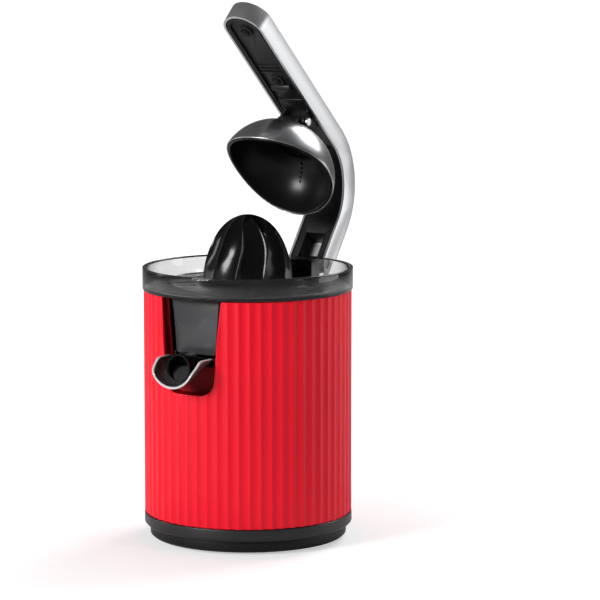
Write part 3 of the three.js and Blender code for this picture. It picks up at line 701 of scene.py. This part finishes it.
piece(base_band(), "base_band", "housing", "graphite", GRAPHITE, "base_ring")
refined("base_plate", "housing", BLACK_SATIN, 0.5)
for number in range(1, 5):
    refined(f"foot_{number}", "housing", RUBBER, 0.3)
refined("cord_gland", "housing", RUBBER, 0.4)

# ---- juice collector, chute and spout -------------------------------------------------------------

# Cutters reach past the collector, to FAR across and from LOW to HIGH. GAP parts pieces that would touch.
FAR, LOW, HIGH = 90, 150, 230
GAP = 0.05

BOWL = {
    "radius": 79.8, "wall": 2.5, "bottom": 186.3, "floor": 189.0, "front": -69.8, "front_half": 31.2,
    "band_radius": 85.0, "band_wall": 3.0, "band_bottom": 202.3, "band_floor": 204.5,
    "rim_bottom": 219.35, "top": 220.5, "sleeve": 14.5, "sleeve_top": 204.0, "bore": 12.0,
    "arm_gap_half": 19.5, "arm_gap_y": 62.0, "drain_half": 17.5, "drain_front": -67.2, "drain_back": -50.5,
}
CHUTE = {
    "front": -71.5, "back": -48.0, "bottom": 158.0, "top": 202.25, "bottom_half": 18.6, "top_half": 22.3,
    "channel_front": -69.0, "channel_top": 190.0, "box_half": 23.2, "box_front": -67.0, "box_top": 186.2,
    "ear": 1.8, "ear_front": -69.5, "ear_back": -62.5, "ear_bottom": 150.0, "ear_top": 159.0, "bore": 2.1,
}
SPOUT = {
    "lip": -105.5, "rear": -58.0, "half": 21.0, "wall": 1.8,
    "lip_bottom": 134.5, "lip_top": 147.0, "top": 157.0,
    "brow_front": -94.0, "brow_back": -79.0, "side_front": -76.5, "side_top": 154.5,
    "edge": 0.8, "edge_back": -77.5,
    "pin": 1.8, "pin_start": 14.0, "pin_end": 22.9, "pin_y": -66.0, "pin_z": 153.2,
}
# The spout's underside from the lip back, as (Y, Z).
SPOUT_FLOOR = [
    (SPOUT["lip"], SPOUT["lip_bottom"]), (-102, 134.55), (-98, 135.3), (-94, 138.0), (-90, 141.8),
    (-84, 146.8), (-76, 150.2), (-66, 151.85), (-57, 152.6),
]
NOZZLE = {"front": -95.0, "back": -80.0, "z": 149.4, "half_width": 11.3, "half_height": 11.6, "wall": 1.5}
SIEVE = {
    "bore": 15.2, "floor": 200.6, "slope_start": 43.0, "slope_end": 66.0, "ledge": 204.8, "sheet": 1.2,
    "radius": 81.5, "lip": 0.9, "lip_top": 206.6, "slots": 60, "slot_start": 47.0, "slot_end": 73.0,
    "slot_half": 0.75, "arm_gap_half": 22.5, "arm_gap_y": 59.0,
}


def arm_gap(margin):
    """The notch at the back of the bowl that the arm swings through, widened by margin."""
    half = BOWL["arm_gap_half"] + margin
    return box(-half, half, BOWL["arm_gap_y"] - margin, FAR, LOW, HIGH)


def front_flat(margin, top):
    """What is taken off the bowl's round front behind the recess."""
    half = BOWL["front_half"] + margin
    return box(-half, half, -FAR, BOWL["front"] + margin, LOW, top)


def collector_bowl():
    radius, wall, bottom, floor = BOWL["radius"], BOWL["wall"], BOWL["bottom"], BOWL["floor"]
    band, band_bottom, band_floor = BOWL["band_radius"], BOWL["band_bottom"], BOWL["band_floor"]
    top, inner, inner_band = BOWL["top"], radius - wall, band - BOWL["band_wall"]
    bowl = lathe(filleted([
        (0, bottom, 0), (radius, bottom, 2.5), (radius, band_bottom, 0.6), (band, band_bottom, 1.3),
        (band, top, 1.4), (0, top, 0),
    ]))
    inside = lathe(filleted([
        (0, floor, 0), (inner, floor, 3), (inner, band_floor, 0.5), (inner_band, band_floor, 1.2),
        (inner_band, top - 1.3, 0), (inner_band + 0.7, top + 0.5, 0), (0, top + 0.5, 0),
    ]))
    cut(bowl, front_flat(0, band_bottom))
    cut(inside, front_flat(wall, band_floor), arm_gap(wall))
    drain = BOWL["drain_half"]
    cut(bowl, inside, box(-drain, drain, BOWL["drain_front"], BOWL["drain_back"], LOW, floor + 1))
    above, beyond = BOWL["rim_bottom"], band + 5
    cut(bowl, lathe([(inner_band - 1, above), (beyond, above), (beyond, top + 5), (inner_band - 1, top + 5)]))
    join(bowl, rod(BOWL["sleeve"], bottom, BOWL["sleeve_top"], segments=96))
    cut(bowl, arm_gap(0), rod(BOWL["bore"], LOW, HIGH, segments=96))
    return soften(bowl, 0.45, 3, 40)


def collector_rim():
    """The bowl's thick upper edge, which looks dark."""
    band, bottom, top = BOWL["band_radius"], BOWL["rim_bottom"] + GAP, BOWL["top"]
    inner = band - BOWL["band_wall"]
    ring = lathe(filleted([(inner, bottom, 0), (band, bottom, 0), (band, top, 0.5), (inner, top, 0.5)], 4))
    cut(ring, arm_gap(BOWL["wall"]))
    return smooth(ring)


def chute():
    bottom, half, top, top_half = CHUTE["bottom"], CHUTE["bottom_half"], CHUTE["top"], CHUTE["top_half"]
    box_half, channel = CHUTE["box_half"], BOWL["drain_half"]
    panel = filleted([(-top_half, top, 0), (-half, bottom, 2.2), (half, bottom, 2.2), (top_half, top, 0)], 8)
    block = prism(panel, "Y", CHUTE["front"], CHUTE["back"])
    cut(block, box(-40, 40, BOWL["front"] + GAP, -40, BOWL["bottom"] - GAP, HIGH))
    join(block, box(-box_half, box_half, CHUTE["box_front"], CHUTE["back"], bottom, CHUTE["box_top"]))
    for side in (-1, 1):
        x0, x1 = sorted((side * (box_half - CHUTE["ear"]), side * box_half))
        join(block, box(x0, x1, CHUTE["ear_front"], CHUTE["ear_back"], CHUTE["ear_bottom"], CHUTE["ear_top"]))
    opening = box(-channel, channel, CHUTE["channel_front"], BOWL["drain_back"], LOW, CHUTE["channel_top"])
    cut(block, opening, cross_rod(CHUTE["bore"], -30, 30, SPOUT["pin_y"], SPOUT["pin_z"]))
    return soften(block, 0.7, 3)


def spout_floor(y):
    """Height of the spout's underside: nearly level behind the lip, then rising to the chute."""
    y = min(max(y, SPOUT_FLOOR[0][0]), SPOUT_FLOOR[-1][0])
    for (y0, z0), (y1, z1) in zip(SPOUT_FLOOR, SPOUT_FLOOR[1:]):
        if y <= y1:
            return z0 + (z1 - z0) * (y - y0) / (y1 - y0)
    return SPOUT_FLOOR[-1][1]


def trough(half, inset, y0, y1, steps=60, open_top=10):
    """A round-bottomed block along the spout's floor, inset above it and open_top past the spout's top."""
    depth = SPOUT["top"] - SPOUT["lip_bottom"]
    section = [(half, depth + open_top), (-half, depth + open_top)]
    section += arc_points(0, half, half, math.pi, 2 * math.pi, 48)
    verts, faces = [], []
    count = len(section)
    for k in range(steps + 1):
        y = y0 + (y1 - y0) * k / steps
        base = spout_floor(y) + inset
        verts += [(x, y, base + h / depth * (SPOUT["top"] - base)) for x, h in section]
    for k in range(steps):
        for i in range(count):
            j = (i + 1) % count
            faces.append((k * count + i, k * count + j, (k + 1) * count + j, (k + 1) * count + i))
    faces += [tuple(range(count)), tuple(range(steps * count + count - 1, steps * count - 1, -1))]
    return make("trough", verts, faces)


def spout_mouth(shift):
    """What is cut away above the spout's edge, moved into the spout by shift."""
    lip, back, top, side_top = SPOUT["lip"], SPOUT["rear"] + 9, SPOUT["top"], SPOUT["side_top"]
    mouth = filleted([
        (lip - 20, 100, 0), (lip, 130, 0), (lip + 0.8, SPOUT["lip_top"], 9),
        (SPOUT["brow_front"], top, 9), (SPOUT["brow_back"], top, 2),
        (SPOUT["side_front"], side_top, 2), (back, side_top, 0), (back, 240, 0), (lip - 20, 240, 0),
    ], 10)
    return prism([(y + shift, z - shift) for y, z in mouth], "X", -40, 40)


def spout_shell():
    half, wall = SPOUT["half"], SPOUT["wall"]
    shell = trough(half, 0, SPOUT["lip"], SPOUT["rear"])
    return cut(shell, trough(half - wall, wall, SPOUT["lip"] - 5, SPOUT["rear"] + 5))


def before(y):
    """A block that holds all of the spout in front of y."""
    return box(-41, 41, -2 * FAR, y, 90, 250)


def spout_painted_highlight():
    """The strip round the spout's mouth, coloured light grey as a painted highlight along the lip."""
    strip = keep(spout_shell(), spout_mouth(SPOUT["edge"]), before(SPOUT["edge_back"]))
    cut(strip, spout_mouth(0))
    return soften(strip, 0.35, 3, 40)


def spout():
    shell = spout_shell()
    cut(shell, keep(spout_mouth(SPOUT["edge"] + GAP), before(SPOUT["edge_back"] + GAP)), spout_mouth(0))
    for side in (-1, 1):
        x0, x1 = sorted((side * SPOUT["pin_start"], side * SPOUT["pin_end"]))
        join(shell, cross_rod(SPOUT["pin"], x0, x1, SPOUT["pin_y"], SPOUT["pin_z"]))
    return soften(shell, 0.5, 3, 40)


def oval(half_width, half_height, z, steps=64):
    angles = [2 * math.pi * k / steps for k in range(steps)]
    return [(half_width * math.cos(angle), z + half_height * math.sin(angle)) for angle in angles]


def nozzle():
    """The drip-stop's short tube, seated on the spout's floor; its closed back and near-black colour are
    painted shade for the spout's dark throat.
    """
    width, height, wall, z = NOZZLE["half_width"], NOZZLE["half_height"], NOZZLE["wall"], NOZZLE["z"]
    tube = prism(oval(width, height, z), "Y", NOZZLE["front"], NOZZLE["back"])
    cut(tube, prism(oval(width - wall, height - wall, z), "Y", NOZZLE["front"] - 1, NOZZLE["back"] - wall))
    keep(tube, trough(SPOUT["half"] - 1, SPOUT["wall"] / 2, SPOUT["lip"] + 1.5, SPOUT["rear"] - 2))
    return soften(tube, 0.5, 3)


def pulp_sieve():
    bore, floor, ledge, sheet, radius = (SIEVE[k] for k in ("bore", "floor", "ledge", "sheet", "radius"))
    start, end, lip_top = SIEVE["slope_start"], SIEVE["slope_end"], SIEVE["lip_top"]
    dish = lathe(filleted([
        (bore, floor, 0.3), (start, floor, 2), (end, ledge, 2), (radius, ledge, 0.3), (radius, lip_top, 0.5),
        (radius - SIEVE["lip"], lip_top, 0.4), (radius - 1.5, ledge + sheet, 0.3),
        (end - 0.2, ledge + sheet, 2), (start, floor + sheet, 2), (bore, floor + sheet, 0.3),
    ]))
    half = SIEVE["slot_half"]
    for i in range(SIEVE["slots"]):
        slot = box(SIEVE["slot_start"], SIEVE["slot_end"], -half, half, LOW, HIGH)
        slot.data.transform(Matrix.Rotation(2 * math.pi * (i + 0.5) / SIEVE["slots"], 4, "Z"))
        cut(dish, slot)
    cut(dish, box(-SIEVE["arm_gap_half"], SIEVE["arm_gap_half"], SIEVE["arm_gap_y"], FAR, LOW, HIGH))
    return smooth(flatten(dish))


piece(collector_bowl(), "collector_bowl", "housing", "smoked", SMOKED, "juice_collector")
piece(collector_rim(), "collector_rim", "housing", "smoked", RIM_SMOKE)
piece(chute(), "collector_chute", "housing", "smoked", PANEL)
piece(spout(), "tilting_spout", "spout_body", "smoked", SPOUT_SMOKE, "spout")
piece(spout_painted_highlight(), "spout_painted_highlight", "spout_body", "smoked", SPOUT_HIGHLIGHT_GREY)
piece(nozzle(), "spout_nozzle", "spout_body", "smoked", SHADE_BLACK)
piece(pulp_sieve(), "fine_sieve", "housing", SLOT_OF_NODE["pulp_sieve"], BLACK_GLOSS, "pulp_sieve")

# ---- reamer cone ----------------------------------------------------------------------------------

CONE = {
    "bottom": 205.0, "skirt": 1.2, "top": 262.5, "radius": 36.0, "power": 2.23, "twist": 0.30,
    "ribs": 10, "depth": 0.13, "valley": 0.62, "low_depth": 0.35, "deepening": 2.2,
    "flange": 37.0, "flange_side": 206.4, "flange_top": 207.3,
    "hub": 8.0, "hub_bottom": 208.0, "hub_top": 252.0, "bore": 4.3, "bore_top": 237.0,
}
# The space inside the cone, as (radius, Z).
CONE_HOLLOW = [(0, 204), (27.5, 204), (26, 225), (21, 240), (10, 250), (0, 251)]


def cone_ring(share, columns):
    """Points round the ribbed cone at a share of its height."""
    base = CONE["radius"] * math.sqrt(max(0, 1 - share ** CONE["power"]))
    twist = CONE["twist"] * math.sin(math.pi * min(1, share)) * share
    low = CONE["low_depth"]
    depth = CONE["depth"] * (low + (1 - low) * min(1, share * CONE["deepening"]))
    z = CONE["bottom"] + (CONE["top"] - CONE["bottom"]) * share
    points = []
    for i in range(columns):
        azimuth = 2 * math.pi * i / columns + twist
        radius = base * (1 - depth * abs(math.sin(math.pi * i * CONE["ribs"] / columns)) ** CONE["valley"])
        points.append((radius * math.cos(azimuth), radius * math.sin(azimuth), z))
    return points


def cone_skin(rows=56, columns=300):
    start = CONE["skirt"] / (CONE["top"] - CONE["bottom"])
    verts, faces = [(0, 0, CONE["bottom"] + CONE["skirt"])], []
    for j in range(rows):
        verts += cone_ring(start + (1 - start) * math.sin(QUARTER * j / rows), columns)
    verts.append((0, 0, CONE["top"]))
    last_ring, tip = 1 + (rows - 1) * columns, len(verts) - 1
    for i in range(columns):
        k = (i + 1) % columns
        faces += [(0, 1 + k, 1 + i), (last_ring + i, last_ring + k, tip)]
        for j in range(rows - 1):
            a = 1 + j * columns
            faces.append((a + i, a + k, a + columns + k, a + columns + i))
    return make("cone", verts, faces)


def juicing_cone():
    bottom, radius, side, top = CONE["bottom"], CONE["flange"], CONE["flange_side"], CONE["flange_top"]
    skin = cone_skin()
    flange = lathe(filleted([
        (0, bottom, 0), (radius, bottom, 0.4), (radius, side, 0.5), (radius - 1.2, top, 0.5), (0, top, 0),
    ]), 144)
    join(skin, flange)
    cut(skin, lathe(CONE_HOLLOW, 72))
    join(skin, rod(CONE["hub"], CONE["hub_bottom"], CONE["hub_top"]))
    cut(skin, rod(CONE["bore"], bottom - 15, CONE["bore_top"]))
    return smooth(skin, 50)


piece(juicing_cone(), "ribbed_cone", "cone_drive", "black", CONE_BLACK, "juicing_cone")

# ---- hinge ----------------------------------------------------------------------------------------

refined("hinge_bracket", "housing", BLACK_SATIN, 0.8, segments=3)
refined("inner_deck", "housing", BLACK_SATIN, 0.4)

# ---- arm, drawn closed about its hinge and then swung open ----------------------------------------

HINGE_Y, HINGE_Z = 91, 212
CLOSED_RIM_Z = 230
OPENING = math.radians(46)
SWING = Matrix.Translation(Vector((0, HINGE_Y, HINGE_Z)) * MM) @ Matrix.Rotation(-OPENING, 4, "X")
ARM = {
    "half": 18.0, "wall": 2.0, "bend": (-63.9, 27.4), "inner": 48.5, "outer": 64.8, "leg_lean": 11.0,
    "drop": 3.0, "reach": 162.0, "end": (-0.83, -0.16), "pin_bore": 3.3, "foot_slot": 9.5,
}
LINER = {
    "side_gap": 0.15, "under_gap": 0.8, "over_gap": 2.3,
    "tray_half": 12.6, "tray_depth": 13.9, "tray_end": 5.0, "tray_top": 90.0,
    "hinge_half": 9.3, "hinge_top": 24.0,
    "dome_half": 13.0, "dome_front": -122.0, "dome_back": -88.0, "dome_depth": 4.6,
    "ribs": ((-164, 9.5), (-160, 9.5), (-156, 10.5)), "rib_half": 0.5, "rib_bottom": 1.2, "rib_top": 2.8,
    "bar_y": -137.0, "bar": 3.2, "bar_half": 9.5, "bar_depth": 2.2,
    "screws": (-206, -146), "boss": 6.2, "boss_bottom": 0.9, "boss_top": 4.0,
    "recess": 3.9, "recess_top": 2.4, "screw_bore": 1.9, "bore_top": 13.0,
}


def arm_outline(under, over, end=0.0):
    """Side outline in (Y, Z) about the hinge; under and over move the underside and the top in."""
    by, bz = ARM["bend"]
    leg = math.radians(ARM["leg_lean"])
    handle = QUARTER + math.radians(ARM["drop"])
    along = (-math.sin(handle), math.cos(handle))
    half = (ARM["outer"] - ARM["inner"]) / 2

    def tip(radius):
        reach = ARM["reach"] - end
        y = by + radius * math.cos(handle) + reach * along[0]
        return (y, bz + radius * math.sin(handle) + reach * along[1])

    def leg_end(distance):
        return (ARM["end"][0] + distance * math.cos(leg), ARM["end"][1] + distance * math.sin(leg))

    points = [leg_end(-(half - under))]
    points += arc_points(by, bz, ARM["inner"] + under, leg, handle, 64)
    points += [tip(ARM["inner"] + under), tip(ARM["outer"] - over)]
    points += arc_points(by, bz, ARM["outer"] - over, handle, leg, 64)
    points += arc_points(*ARM["end"], half - max(under, over), leg, leg - math.pi, 24)[:-1]
    return points


def tip_plan(half):
    """The arm's outline from above, with its round tip."""
    centre = ARM["bend"][0] - ARM["reach"] + ARM["half"]
    points = [(half, 60), (-half, 60)] + arc_points(0, centre, half, math.pi, 2 * math.pi, 48)
    return prism(points, "Z", -60, 140)


def underside(y):
    """Height of the handle's underside above the hinge."""
    drop = math.radians(ARM["drop"])
    return ARM["bend"][1] + (ARM["inner"] + (y - ARM["bend"][0]) * math.sin(drop)) / math.cos(drop)


def pin_bore():
    return cross_rod(ARM["pin_bore"], -30, 30, 0, 0)


def swung(obj):
    obj.data.transform(SWING)
    return obj


def arm_shell():
    half, wall = ARM["half"], ARM["wall"]
    inner = half - wall
    shell = keep(prism(arm_outline(0, 0), "X", -half, half), tip_plan(half))
    channel = keep(prism(arm_outline(-20, wall), "X", -inner, inner), tip_plan(inner))
    cut(shell, channel, box(-inner, inner, -40, 40, -40, ARM["foot_slot"]), pin_bore())
    return swung(soften(shell, 0.7, 3))


def arm_liner():
    half = ARM["half"] - ARM["wall"] - LINER["side_gap"]
    side = arm_outline(LINER["under_gap"], LINER["over_gap"])
    block = keep(prism(side, "X", -half, half), tip_plan(half))
    tray_half = LINER["tray_half"]
    tray_side = arm_outline(-10, LINER["tray_depth"], LINER["tray_end"])
    tray = keep(prism(tray_side, "X", -tray_half, tray_half), tip_plan(tray_half))
    cut(tray, box(-30, 30, -60, 40, -80, LINER["tray_top"]))
    cut(block, tray)
    hinge_half, dome_half = LINER["hinge_half"], LINER["dome_half"]
    level = underside((LINER["dome_front"] + LINER["dome_back"]) / 2)
    cut(block, box(-hinge_half, hinge_half, -40, 40, -40, LINER["hinge_top"]))
    front, back, depth = LINER["dome_front"], LINER["dome_back"], LINER["dome_depth"]
    cut(block, box(-dome_half, dome_half, front, back, level - 6, level + depth))
    rib = LINER["rib_half"]
    for y, width in LINER["ribs"]:
        level = underside(y)
        low, high = level + LINER["rib_bottom"], level + LINER["rib_top"]
        join(block, box(-width, width, y - rib, y + rib, low, high))
    y, bar_half = LINER["bar_y"], LINER["bar_half"]
    bar = round_rod(LINER["bar"], -bar_half, bar_half, 1.5)
    join(block, across(bar, 0, y, underside(y) + LINER["bar_depth"]))
    for y in LINER["screws"]:
        level = underside(y)
        join(block, rod(LINER["boss"], level + LINER["boss_bottom"], level + LINER["boss_top"], 0, y))
        cut(block, rod(LINER["recess"], level - 4, level + LINER["recess_top"], 0, y))
        cut(block, rod(LINER["screw_bore"], level, level + LINER["bore_top"], 0, y))
    cut(block, pin_bore())
    return swung(soften(block, 0.45, 2, 34))


piece(arm_shell(), "silver_arm", "arm", "silver", SILVER, "arm_shell")
piece(arm_liner(), "arm_underside", "arm", "black", BLACK_SATIN, "arm_liner")
refined("dome_bracket", "arm", BLACK_SATIN, 0.6)
# The liner screws take the near-black: painted shade, so they read as dark screw holes.
for number in (1, 2):
    refined(f"liner_screw_{number}", "arm", SHADE_BLACK, 0.2)

# ---- dome, drawn upright about the centre of its rim ----------------------------------------------

DOME = {"radius": 48.0, "height": 46.5, "sheet": 1.2, "rim": 0.62, "rise": 9.0, "screw_bore": 2.0}
CUP = {
    "gap": 0.35, "wall": 2.0, "rim": 1.0,
    "ring_inside": 18.5, "ring": 20.3, "ring_bottom": 35.0, "ring_top": 42.0,
    "boss": 5.5, "boss_bottom": 38.0, "boss_top": 44.0, "recess": 4.0, "recess_top": 40.2,
    "holes": 8, "hole": 1.3, "hole_azimuth": 98, "first_rise": 36, "rise_step": 4.9,
}
PIN = {"y": -13.1, "z": 48.7, "radius": 2.0, "half": 14.0, "head": 3.4, "head_start": 12.9, "head_end": 15.0}
ARM_PIN = {"radius": 3.0, "half": 17.7}
TO_DOME = SWING @ Matrix.Translation(Vector((0, -HINGE_Y, CLOSED_RIM_Z - HINGE_Z)) * MM)


def tilted(obj):
    obj.data.transform(TO_DOME)
    return obj


def dome_section(radius, height, wall, rim, low, rows):
    """Half a section as (radius, height): inside from the top to the rim, round it, and up the outside."""
    section = []
    for k in range(rows + 1):
        angle = QUARTER - (QUARTER - low) * k / rows
        section.append(((radius - wall) * math.cos(angle), (height - wall) * math.sin(angle)))
    end = section[-1]
    start = (radius * math.cos(low), height * math.sin(low))
    middle = ((end[0] + start[0]) / 2, (end[1] + start[1]) / 2)
    section += arc_points(*middle, rim, math.pi, 2 * math.pi, 6)[1:-1]
    for k in range(rows + 1):
        angle = low + (QUARTER - low) * k / rows
        section.append((radius * math.cos(angle), height * math.sin(angle)))
    return section


def hollow_dome(radius, height, wall, rim, columns=144, rows=30):
    """A closed dome shell whose rim rises towards both sides; rim is the radius of its rounded edge."""
    verts, faces = [], []
    count = 0
    for i in range(columns):
        azimuth = 2 * math.pi * i / columns
        cx, cy = math.cos(azimuth), math.sin(azimuth)
        low = math.asin(min(1, DOME["rise"] * cx * cx / height))
        section = dome_section(radius, height, wall, rim, low, rows)
        count = len(section)
        verts += [(max(0, r) * cx, max(0, r) * cy, z) for r, z in section]
    for i in range(columns):
        a, b = i * count, (i + 1) % columns * count
        faces += [(a + j, b + j, b + j + 1, a + j + 1) for j in range(count - 1)]
    return make("dome", verts, faces)


def screw_bore():
    return rod(DOME["screw_bore"], 20, 60)


def dome_shell():
    shell = hollow_dome(DOME["radius"], DOME["height"], DOME["sheet"], DOME["rim"])
    cut(shell, screw_bore())
    return tilted(smooth(shell, 50))


def press_cup():
    radius = DOME["radius"] - DOME["sheet"] - CUP["gap"]
    height = DOME["height"] - DOME["sheet"] - CUP["gap"]
    middle_radius, middle_height = radius - CUP["wall"] / 2, height - CUP["wall"] / 2
    inside, outside, low, high = CUP["ring_inside"], CUP["ring"], CUP["ring_bottom"], CUP["ring_top"]
    cup = hollow_dome(radius, height, CUP["wall"], CUP["rim"])
    bosses = join(
        lathe(filleted([(inside, low, 0.4), (outside, low, 0.4), (outside, high, 0), (inside, high, 0)]), 72),
        rod(CUP["boss"], CUP["boss_bottom"], CUP["boss_top"]))
    arc = [(middle_radius * math.cos(math.radians(a)), middle_height * math.sin(math.radians(a)))
           for a in range(0, 90, 3)]
    keep(bosses, lathe([(0, 0)] + arc + [(0, middle_height)], 72))
    join(cup, bosses)
    cut(cup, screw_bore(), rod(CUP["recess"], 20, CUP["recess_top"]))
    for step in range(CUP["holes"]):
        rise = math.radians(CUP["first_rise"] + CUP["rise_step"] * step)
        spot = Vector((middle_radius * math.cos(rise), 0, middle_height * math.sin(rise))) * MM
        hole = rod(CUP["hole"], -3.2, 0.5, segments=20)
        hole.data.transform(
            Matrix.Rotation(math.radians(CUP["hole_azimuth"]), 4, "Z") @ Matrix.Translation(spot)
            @ Matrix.Rotation(QUARTER - rise, 4, "Y"))
        cut(cup, hole)
    return tilted(smooth(cup, 40))


def pivot_pin():
    y, z, half, start, end = PIN["y"], PIN["z"], PIN["half"], PIN["head_start"], PIN["head_end"]
    pin = join(
        cross_rod(PIN["radius"], -half, half, y, z), cross_rod(PIN["head"], -end, -start, y, z, 0.7),
        cross_rod(PIN["head"], start, end, y, z, 0.7))
    return tilted(smooth(pin))


piece(dome_shell(), "polished_dome", "dome", "steel", STEEL, "dome_shell")
piece(press_cup(), "inner_cup", "dome", "black", CUP_BLACK, "press_cup")
refined("dome_knuckle", "dome", BLACK_SATIN, 0.5)
refined("dome_screw", "dome", MACHINED, 0.2)
piece(pivot_pin(), "pivot_pin", "arm", "silver", SILVER, "dome_pin")
arm_pin = cross_rod(ARM_PIN["radius"], -ARM_PIN["half"], ARM_PIN["half"], HINGE_Y, HINGE_Z, 0.4)
piece(smooth(arm_pin), "arm_pin", "housing", "steel", MACHINED, "hinge_pin")
